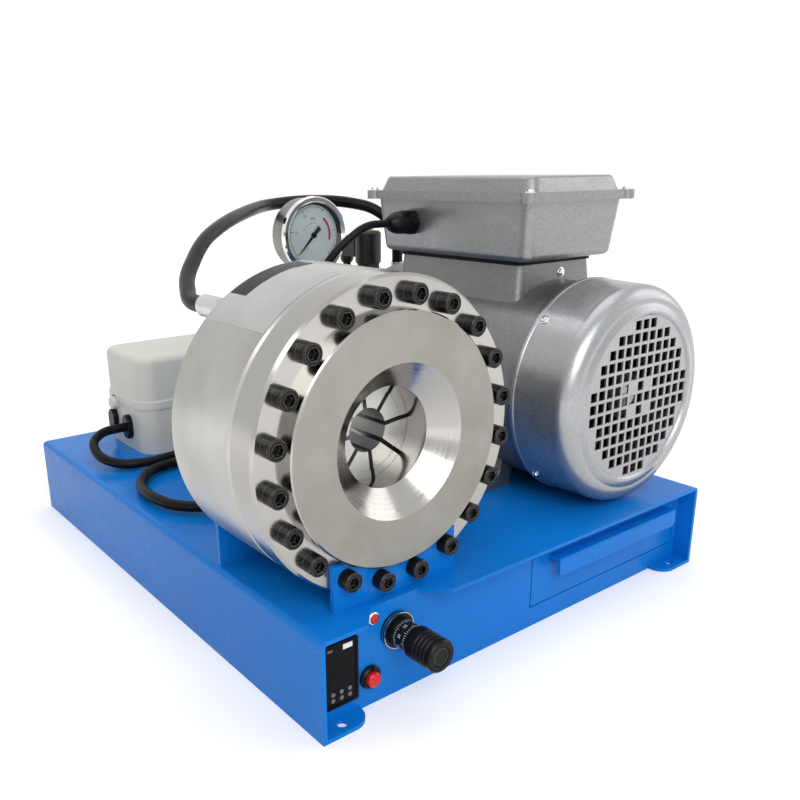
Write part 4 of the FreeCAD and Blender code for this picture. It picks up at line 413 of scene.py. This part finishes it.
    def round_about(self, axis):
        """Lay the brushed highlight round an axis."""
        tangent = self.node("ShaderNodeTangent", direction_type="RADIAL", axis=axis)
        self.link(tangent.outputs[0], self.shader.inputs["Tangent"])

    def bump(self, height, depth):
        """Relief of the given depth in millimetres."""
        made = self.node("ShaderNodeBump")
        made.inputs["Distance"].default_value = depth * MM
        self.link(height, made.inputs["Height"])
        self.link(made.outputs[0], self.shader.inputs["Normal"])


def blue_enamel():
    s = Surface("blue_enamel", {"Coat Weight": 0.02, "Coat Roughness": 0.06, "Specular IOR Level": 0.12})
    s.colour(s.noise(5.0), (0.002, 0.160, 0.560), (0.004, 0.180, 0.630))
    s.roughness(s.noise(40.0), 0.20, 0.30)
    s.bump(s.noise(380.0, 2.0), 0.012)
    return s.material


def turned_steel(name, low, high, rough):
    s = Surface(name, {"Metallic": 1.0, "Anisotropic": 0.55})
    rings = s.turned(HEAD_X, HEAD_Z, LATHE_LINES)
    s.colour(s.noise(14.0), low, high)
    s.roughness(rings, *rough)
    s.bump(rings, 0.012)
    s.round_about("Y")
    return s.material


def cover_steel():
    """Cover face faced dull and darker; mouth, flange and rims left bright from the lathe."""
    s = Surface("cover_steel", {"Metallic": 1.0, "Anisotropic": 0.4})
    rings = s.turned(HEAD_X, HEAD_Z, LATHE_LINES)
    radius = s.from_axis(HEAD_X, HEAD_Z)
    on_disc = s.spread(s.along("Y"), 1.0, 0.0, (COVER_DISC_Y + 0.2) * MM, (COVER_DISC_Y + 0.5) * MM)
    off_mouth = s.spread(radius, 0.0, 1.0, (MOUTH_R - 0.3) * MM, (MOUTH_R + 0.3) * MM)
    face = s.maths("MULTIPLY", on_disc, off_mouth)
    smudge = s.noise(24.0, 5.0)
    dull = s.spread(smudge, 0.34, 0.46, 0.35, 0.65)
    bright = s.spread(rings, 0.11, 0.22, *s.NOISE_BAND)
    s.link(s.between(face, bright, dull), s.shader.inputs["Roughness"])
    tint = s.colour(smudge, (0.26, 0.250, 0.225), (0.34, 0.330, 0.305))
    s.blend(face, (0.40, 0.39, 0.37), tint)
    s.bump(rings, 0.010)
    s.round_about("Y")
    return s.material


def ground_steel(name, low, high, rough):
    s = Surface(name, {"Metallic": 1.0})
    scratch = s.noise(600.0, 4.0, stretch=(1.0, 0.08, 1.0))
    s.colour(s.noise(25.0), low, high)
    s.roughness(scratch, *rough)
    s.bump(scratch, 0.01)
    return s.material


def black_oxide():
    """Near black, with thin bright lines painted along the screws' edges as a painted highlight."""
    s = Surface("black_oxide", {"Specular IOR Level": 0.15})
    dark = s.colour(s.noise(90.0), (0.004, 0.004, 0.005), (0.009, 0.009, 0.010))
    # painted highlight: the bevel mask lightens the edges to grey
    s.blend(s.edges(0.7 * MM), dark, (0.20, 0.20, 0.20))
    s.roughness(s.noise(150.0), 0.20, 0.30)
    return s.material


def silver_paint(name, low, high, rough):
    s = Surface(name, {"Metallic": 0.75, "Coat Weight": 0.15, "Coat Roughness": 0.2})
    s.colour(s.noise(420.0), low, high)
    s.roughness(s.noise(60.0), *rough)
    s.bump(s.noise(320.0, 2.0), 0.008)
    return s.material


def black_plastic(name, rough):
    s = Surface(name, {"Specular IOR Level": 0.14})
    s.colour(s.noise(60.0), (0.004, 0.004, 0.005), (0.008, 0.008, 0.009))
    s.roughness(s.noise(200.0), *rough)
    s.bump(s.noise(1200.0), 0.008)
    return s.material


def valve_finish():
    """Black coil and plug under a yellow passivated cap nut."""
    s = Surface("valve_finish", {"Specular IOR Level": 0.3})
    cap = s.past("Z", VALVE_CAP_Z, 0.1)
    black = s.colour(s.noise(60.0), (0.007, 0.007, 0.008), (0.014, 0.014, 0.015))
    s.blend(cap, black, (0.55, 0.52, 0.12))
    s.link(s.spread(cap, 0.0, 0.8), s.shader.inputs["Metallic"])
    s.roughness(s.noise(200.0), 0.30, 0.42)
    return s.material


def cable_rubber():
    s = Surface("cable_rubber", {"Specular IOR Level": 0.12})
    s.colour(s.noise(45.0), (0.004, 0.004, 0.005), (0.008, 0.008, 0.009))
    s.roughness(s.noise(110.0), 0.26, 0.38)
    s.bump(s.noise(260.0, 2.0), 0.015)
    return s.material


def grey_plastic():
    s = Surface("grey_plastic", {"Specular IOR Level": 0.4})
    s.colour(s.noise(8.0), (0.565, 0.565, 0.510), (0.610, 0.605, 0.550))
    s.roughness(s.noise(90.0), 0.34, 0.44)
    s.bump(s.noise(900.0, 2.0), 0.010)
    return s.material


def red_plastic():
    s = Surface("red_plastic", {"Coat Weight": 0.1, "Coat Roughness": 0.1, "Specular IOR Level": 0.3})
    s.colour(s.noise(200.0), (0.58, 0.008, 0.008), (0.70, 0.014, 0.012))
    s.roughness(s.noise(300.0), 0.25, 0.35)
    return s.material


def chrome():
    s = Surface("chrome", {"Metallic": 1.0})
    s.colour(s.noise(50.0), (0.72, 0.72, 0.72), (0.80, 0.80, 0.80))
    s.roughness(s.noise(120.0), 0.06, 0.14)
    return s.material


def gauge_steel():
    """Case brushed dull behind a polished bezel."""
    s = Surface("gauge_steel", {"Metallic": 1.0, "Anisotropic": 0.5})
    rings = s.turned(GAUGE_X, GAUGE_Z, 2200.0)
    case = s.past("Y", GAUGE_Y + BEZEL_LEN, 0.3)
    warm = s.colour(s.noise(30.0), (0.20, 0.195, 0.18), (0.27, 0.26, 0.245))
    s.blend(case, (0.78, 0.78, 0.78), warm)
    brushed = s.spread(rings, 0.28, 0.42, *s.NOISE_BAND)
    s.link(s.between(case, 0.09, brushed), s.shader.inputs["Roughness"])
    s.round_about("Y")
    return s.material


def glossy_black():
    s = Surface("glossy_black", {"Coat Weight": 0.02, "Coat Roughness": 0.02, "Specular IOR Level": 0.05})
    s.colour(s.noise(120.0), (0.006, 0.006, 0.007), (0.010, 0.010, 0.011))
    s.roughness(s.noise(200.0), 0.12, 0.2)
    return s.material


def clear_glass():
    s = Surface("clear_glass", {"Transmission Weight": 1.0, "IOR": 1.45, "Roughness": 0.0})
    s.colour(s.noise(10.0), (0.96, 0.98, 0.98), (0.99, 1.0, 1.0))
    return s.material


def matte(name, low, high, rough=(0.45, 0.6), scale=40.0, glow=0.0):
    """Print, paper or foil; glow lights it from within."""
    s = Surface(name, {"Specular IOR Level": 0.12, "Emission Strength": glow})
    tint = s.colour(s.noise(scale), low, high)
    if glow:
        s.link(tint, s.shader.inputs["Emission Color"])
    s.roughness(s.noise(scale * 3), *rough)
    return s.material


def make_materials():
    """Finish of each slot that the record names."""
    return {
        "blue_paint": blue_enamel(),
        "machined_steel": turned_steel("machined_steel", (0.38, 0.370, 0.345), (0.50, 0.490, 0.465),
                                       (0.19, 0.32)),
        "piston_steel": turned_steel("piston_steel", (0.30, 0.295, 0.29), (0.38, 0.375, 0.37),
                                     (0.25, 0.4)),
        "die_steel": ground_steel("die_steel", (0.42, 0.415, 0.40), (0.55, 0.545, 0.52), (0.34, 0.5)),
        "black_oxide": black_oxide(),
        "seal_rubber": black_plastic("seal_rubber", (0.5, 0.7)),
        "black_plastic": black_plastic("black_plastic", (0.24, 0.36)),
        "gloss_black": glossy_black(),
        "red_plastic": red_plastic(),
        "chrome_trim": chrome(),
        "zinc_steel": ground_steel("zinc_steel", (0.50, 0.50, 0.49), (0.62, 0.62, 0.60), (0.25, 0.4)),
        "motor_silver": silver_paint("motor_silver", (0.17, 0.172, 0.175), (0.23, 0.232, 0.235),
                                     (0.32, 0.44)),
        "pump_aluminium": silver_paint("pump_aluminium", (0.45, 0.45, 0.45), (0.58, 0.58, 0.57),
                                       (0.4, 0.55)),
        "clear_glass": clear_glass(),
        "grey_plastic": grey_plastic(),
        "cable_black": cable_rubber(),
    }


def own_finishes():
    """Nodes whose finish differs from that of their slot."""
    box = silver_paint("box_silver", (0.22, 0.225, 0.23), (0.29, 0.295, 0.30), (0.28, 0.40))
    return {
        "fan_cowl": silver_paint("cowl_silver", (0.31, 0.318, 0.328), (0.37, 0.378, 0.388), (0.25, 0.35)),
        "terminal_box": box,
        "terminal_lid": box,
        "head_cover": cover_steel(),
        "gauge_case": gauge_steel(),
        "solenoid_valve": valve_finish(),
        "dial_spindle": black_oxide(),
    }


def dress_frame(materials):
    """Give every CAD node the finish of its slot, or its own where it has one."""
    own = own_finishes()
    for row in frame["record"]["subparts"]:
        node = row["node"]
        mesh = frame["nodes"][node].data
        mesh.materials.clear()
        mesh.materials.append(own.get(node, materials[row["material_slot"]]))


# Small pieces

def around(steps):
    """Angles in radians of equal steps once round."""
    return [2 * math.pi * step / steps for step in range(steps)]


def arc(span_turn, steps):
    """Angles in radians of equal steps over a span in degrees."""
    first, last = span_turn
    return [math.radians(first + (last - first) * step / steps) for step in range(steps + 1)]


def standing(place, outward):
    """Matrix that puts a form on a place with its own Z axis along outward."""
    turn = Vector(outward).to_track_quat("Z", "Y").to_matrix().to_4x4()
    return Matrix.Translation(Vector(place)) @ turn


def outward_at(turn):
    """Unit vector square to Y at an angle in radians."""
    return math.cos(turn), 0, math.sin(turn)


class Pile:
    """Points in millimetres and faces of one piece, gathered from simple closed forms."""

    def __init__(self):
        self.points = []
        self.faces = []

    def add(self, points, faces, matrix=None):
        start = len(self.points)
        self.points += [matrix @ Vector(p) if matrix else Vector(p) for p in points]
        self.faces += [tuple(start + k for k in face) for face in faces]

    def loft(self, rings, matrix=None, closed=False):
        """Skin between rings of the same count; ends are capped, or the last ring meets the first."""
        count = len(rings[0])
        points = [p for ring in rings for p in ring]
        faces = []
        spans = len(rings) if closed else len(rings) - 1
        for i in range(spans):
            j = (i + 1) % len(rings)
            for k in range(count):
                n = (k + 1) % count
                faces.append((i * count + k, i * count + n, j * count + n, j * count + k))
        if not closed:
            last = (len(rings) - 1) * count
            faces.append(tuple(reversed(range(count))))
            faces.append(tuple(last + k for k in range(count)))
        self.add(points, faces, matrix)

    def ring(self, x, z, profile, steps=96):
        """Ring about a line along Y, turned from a closed profile of (radius, y)."""
        self.loft([[(x + r * math.cos(t), y, z + r * math.sin(t)) for r, y in profile]
                   for t in around(steps)], closed=True)

    def bent_plate(self, x, z, radius, thick, span_y, span_turn, steps=24):
        """Plate bent round a line along Y."""
        near, far = span_y
        profile = ((radius, near), (radius + thick, near), (radius + thick, far), (radius, far))
        self.loft([[(x + r * math.cos(t), y, z + r * math.sin(t)) for r, y in profile]
                   for t in arc(span_turn, steps)])

    def sector(self, x, y, z, r_in, r_out, span_turn, thick, steps):
        """Flat arc that faces -Y."""
        profile = ((r_in, 0), (r_in, thick), (r_out, thick), (r_out, 0))
        self.loft([[(x + r * math.cos(t), y - up, z + r * math.sin(t)) for r, up in profile]
                   for t in arc(span_turn, steps)])

    def block(self, low, high, matrix=None):
        x0, y0, z0 = low
        x1, y1, z1 = high
        self.loft([[(x0, y0, z), (x1, y0, z), (x1, y1, z), (x0, y1, z)] for z in (z0, z1)], matrix)

    def turned(self, profile, steps, matrix):
        """Round form about its own Z axis, from (radius, height) pairs."""
        self.loft([[(r * math.cos(t), r * math.sin(t), w) for t in around(steps)]
                   for r, w in profile], matrix)

    def screw_head(self, place, outward, r, height):
        """Slotted pan head on a washer, its axis along outward."""
        matrix = standing(place, outward)
        slot_floor = height * 0.55
        slot_half = r * 0.14
        washer = ((r * 1.35, -0.2), (r * 1.35, 0.6), (r * 1.28, 0.8))
        skirt = ((r, 0.7), (r, slot_floor))
        crown = ((r, slot_floor), (r * 0.95, height * 0.85), (r * 0.78, height))
        self.turned(washer, 32, matrix)
        self.turned(skirt, 32, matrix)
        for side in (-1, 1):
            half_round = [side * math.pi / 2 + math.radians(a) for a in range(-78, 79, 12)]
            self.loft([[(q * math.cos(t), side * max(slot_half, abs(q * math.sin(t))), w)
                        for t in half_round] for q, w in crown], matrix)

    def rivet(self, place, outward, r):
        """Domed rivet head, its axis along outward."""
        lifts = [math.radians(lift) for lift in (-10, 15, 40, 65, 82)]
        profile = [(r * math.cos(a), r * 0.6 * math.sin(a)) for a in lifts]
        self.turned(profile, 16, standing(place, outward))

    def letters(self, text, size, lay):
        """Flat figures; lay turns their (across, up) millimetres into a point."""
        curve = bpy.data.curves.new("figures", "FONT")
        curve.body = text
        curve.size = size
        curve.align_x = "CENTER"
        curve.align_y = "CENTER"
        curve.resolution_u = 3
        holder = bpy.data.objects.new("figures", curve)
        mesh = bpy.data.meshes.new_from_object(holder)
        self.add([lay(v.co.x, v.co.y) for v in mesh.vertices], [tuple(p.vertices) for p in mesh.polygons])
        bpy.data.objects.remove(holder)
        bpy.data.meshes.remove(mesh)
        bpy.data.curves.remove(curve)

    def make(self, name, material, body="base", smooth=40):
        """Turn the pile into a piece that rides on a body; smooth is the turn up to which faces blend."""
        mesh = bpy.data.meshes.new(name)
        mesh.from_pydata([p * MM for p in self.points], [], self.faces)
        form = bmesh.new()
        form.from_mesh(mesh)
        bmesh.ops.recalc_face_normals(form, faces=form.faces)
        form.to_mesh(mesh)
        form.free()
        mesh.shade_flat()
        if smooth:
            mesh.shade_smooth()
            mesh.set_sharp_from_angle(angle=math.radians(smooth))
        mesh.materials.append(material)
        piece = bpy.data.objects.new(name, mesh)
        bpy.context.scene.collection.objects.link(piece)
        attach(piece, body)


def card_letters(marks, text, size, across, up):
    """Print on the gauge's card, at a place from its middle."""
    marks.letters(text, size, lambda u, v: (GAUGE_X + across + u, CARD_Y - INK_T, GAUGE_Z + up + v))


def card_scale(marks):
    """Ticks with their line, and figures up to the red arc."""
    first, last = SCALE_TURN
    for k in range(DIVISIONS + 1):
        turn = first + (last - first) * k / DIVISIONS
        major = k % MAJOR_EVERY == 0
        half = math.degrees((MAJOR_TICK_HALF if major else MINOR_TICK_HALF) / TICK_MIDDLE_R)
        marks.sector(GAUGE_X, CARD_Y, GAUGE_Z, MAJOR_TICK_R if major else MINOR_TICK_R, SCALE_R,
                     (turn - half, turn + half), INK_T, steps=1)
        if major and k <= LAST_FIGURE:
            a = math.radians(turn)
            card_letters(marks, str(k), FIGURE_SIZE, FIGURE_R * math.cos(a), FIGURE_R * math.sin(a))
    marks.sector(GAUGE_X, CARD_Y, GAUGE_Z, SCALE_R, SCALE_R + SCALE_LINE_W, SCALE_TURN, INK_T, steps=72)


def gauge_pieces(materials):
    """Card, its figures and red arc, and the black ring inside the bezel."""
    paper = matte("dial_paper", (0.60, 0.66, 0.67), (0.66, 0.72, 0.73), (0.4, 0.5))
    ink = matte("dial_ink", (0.012, 0.012, 0.013), (0.02, 0.02, 0.021))
    red = matte("dial_red", (0.50, 0.035, 0.10), (0.58, 0.05, 0.13))
    card = Pile()
    card.ring(GAUGE_X, GAUGE_Z, ((CARD_HOLE_R, GAUGE_FLOOR_Y), (CARD_HOLE_R, CARD_Y),
                                 (CARD_R, CARD_Y), (CARD_R, GAUGE_FLOOR_Y)))
    card.make("gauge_dial", paper)
    rim = Pile()
    front, back = GAUGE_FLOOR_Y - RIM_DEPTH, GAUGE_FLOOR_Y - RIM_CLEAR
    rim.ring(GAUGE_X, GAUGE_Z, ((RIM_OUTER_R, back), (RIM_OUTER_R, front), (RIM_FRONT_R, front),
                                (RIM_FOOT_R, CARD_Y - RIM_CLEAR), (RIM_FOOT_R, back)))
    rim.make("gauge_inner_ring", materials["gloss_black"])
    marks = Pile()
    card_scale(marks)
    for turn in DOT_ROW_TURNS:
        a = math.radians(turn)
        marks.sector(GAUGE_X + DOT_ROW_R * math.cos(a), CARD_Y, GAUGE_Z + DOT_ROW_R * math.sin(a),
                     DOT_HOLE_R, DOT_R, (0, 360), INK_T, steps=12)
    card_letters(marks, "MPa", UNIT_SIZE, 0.0, UNIT_LIFT)
    marks.make("gauge_figures", ink, smooth=0)
    warning = Pile()
    warning.sector(GAUGE_X, CARD_Y, GAUGE_Z, *RED_ARC_R, RED_ARC_TURN, RED_ARC_T, steps=32)
    warning.make("gauge_red_arc", red, smooth=0)


def on_sleeve(turn, up):
    """Point on the dial's sleeve, at an angle from straight up and a height from its row of figures."""
    r = SLEEVE_R + MARK_RISE
    return DIAL_X + r * math.sin(turn), sum(MARKS_Y) / 2 + up, DIAL_Z + r * math.cos(turn)


def dial_pieces(materials):
    """Graduations and figures on the dial's sleeve and two bright rings on its collar."""
    ink = matte("figure_white", (0.62, 0.62, 0.60), (0.72, 0.72, 0.70))
    marks = Pile()
    for k, turn in enumerate(around(GRADUATIONS)):
        matrix = Matrix.Translation(Vector((DIAL_X, 0, DIAL_Z))) @ Matrix.Rotation(turn, 4, "Y")
        length = LONG_MARK if k % LONG_EVERY == 0 else SHORT_MARK
        for y in (MARKS_Y[1], MARKS_Y[0] + length):
            marks.block((-MARK_HALF_W, y - length, SLEEVE_R - MARK_SINK),
                        (MARK_HALF_W, y, SLEEVE_R + MARK_RISE), matrix)
    for k in range(SLEEVE_FIGURES):
        turn = 2 * math.pi * (k + 0.5) / SLEEVE_FIGURES
        marks.letters(str(k * LONG_EVERY), SLEEVE_FIGURE_SIZE,
                      lambda u, v, turn=turn: on_sleeve(turn + u / SLEEVE_R, v))
    marks.make("dial_figures", ink, smooth=0)
    rings = Pile()
    r_in, r_out = COLLAR_R - RING_SINK, COLLAR_R + RING_RISE
    for y in COLLAR_RINGS_Y:
        front, back = y - RING_HALF_W, y + RING_HALF_W
        rings.ring(DIAL_X, DIAL_Z, ((r_in, front), (r_out, front), (r_out, back), (r_in, back)), steps=64)
    rings.make("dial_collar_rings", materials["chrome_trim"])


def display_pieces():
    """Lit read-out, a printed bar and the keys on the display."""
    y = DISPLAY_FLOOR_Y
    lit = matte("read_out", (0.55, 0.62, 0.66), (0.66, 0.72, 0.75), glow=0.25)
    dim = matte("display_print", (0.12, 0.13, 0.14), (0.17, 0.18, 0.19))
    screen = Pile()
    screen.block((READ_OUT_X[0], y - READ_OUT_RISE, READ_OUT_Z[0]),
                 (READ_OUT_X[1], y + DISPLAY_SINK, READ_OUT_Z[1]))
    screen.make("display_read_out", lit, smooth=0)
    keys = Pile()
    keys.block((BAR_X[0], y - BAR_RISE, BAR_Z[0]), (BAR_X[1], y + DISPLAY_SINK, BAR_Z[1]))
    for z in KEYS_Z:
        for x in KEYS_X:
            keys.sector(x, y, z, KEY_HOLE_R, KEY_R, (0, 360), KEY_RISE, steps=20)
    keys.make("display_keys", dim, smooth=0)


def head_pieces():
    """Bare name label and dark strip on the cylinder's side."""
    pale = matte("label_foil", (0.39, 0.40, 0.405), (0.46, 0.47, 0.475), (0.28, 0.4), 18.0)
    dark = matte("strip_black", (0.010, 0.010, 0.012), (0.020, 0.020, 0.023), (0.3, 0.4))
    label = Pile()
    label.bent_plate(HEAD_X, HEAD_Z, HEAD_R + LABEL_LIFT, LABEL_T, LABEL_Y, LABEL_TURN, steps=36)
    label.make("head_label", pale)
    strip = Pile()
    strip.bent_plate(HEAD_X, HEAD_Z, HEAD_R + STRIP_LIFT, STRIP_T, STRIP_Y, STRIP_TURN, steps=36)
    strip.make("head_label_strip", dark)


def motor_pieces(materials):
    """Lid, neck and cowl screws, and the riveted rating plate without lettering."""
    screws = Pile()
    for x in (LID_LOW[0] + LID_LUG_R, LID_HIGH[0] - LID_LUG_R):
        for y in (LID_LOW[1] + LID_LUG_R, LID_HIGH[1] - LID_LUG_R):
            screws.screw_head((x, y, LID_LOW[2] + LID_LUG_T), (0, 0, 1), *LID_SCREW)
    screws.screw_head(NECK_SCREW_PLACE, NECK_SCREW_OUT, *NECK_SCREW)
    for turn in COWL_SCREW_TURNS:
        out = outward_at(math.radians(turn))
        place = (MOTOR_X + COWL_R * out[0], COWL_SCREW_Y, MOTOR_Z + COWL_R * out[2])
        screws.screw_head(place, out, *COWL_SCREW)
    screws.make("motor_screws", materials["chrome_trim"])
    plate = Pile()
    plate.bent_plate(MOTOR_X, MOTOR_Z, FRAME_R + PLATE_LIFT, PLATE_T, PLATE_Y, PLATE_TURN)
    for y in (PLATE_Y[0] + RIVET_INSET_Y, PLATE_Y[1] - RIVET_INSET_Y):
        for turn in (PLATE_TURN[0] + RIVET_INSET_TURN, PLATE_TURN[1] - RIVET_INSET_TURN):
            out = outward_at(math.radians(turn))
            r = FRAME_R + PLATE_T
            plate.rivet((MOTOR_X + r * out[0], y, MOTOR_Z + r * out[2]), out, RIVET_R)
    plate.make("motor_rating_plate", materials["pump_aluminium"])


def main():
    make_camera()
    make_world()
    make_floor()
    for name, settings in LIGHTS.items():
        soft_light(name, *settings)
    materials = make_materials()
    dress_frame(materials)
    gauge_pieces(materials)
    dial_pieces(materials)
    display_pieces()
    head_pieces()
    motor_pieces(materials)
    bpy.context.scene.view_settings.view_transform = "Standard"


main()
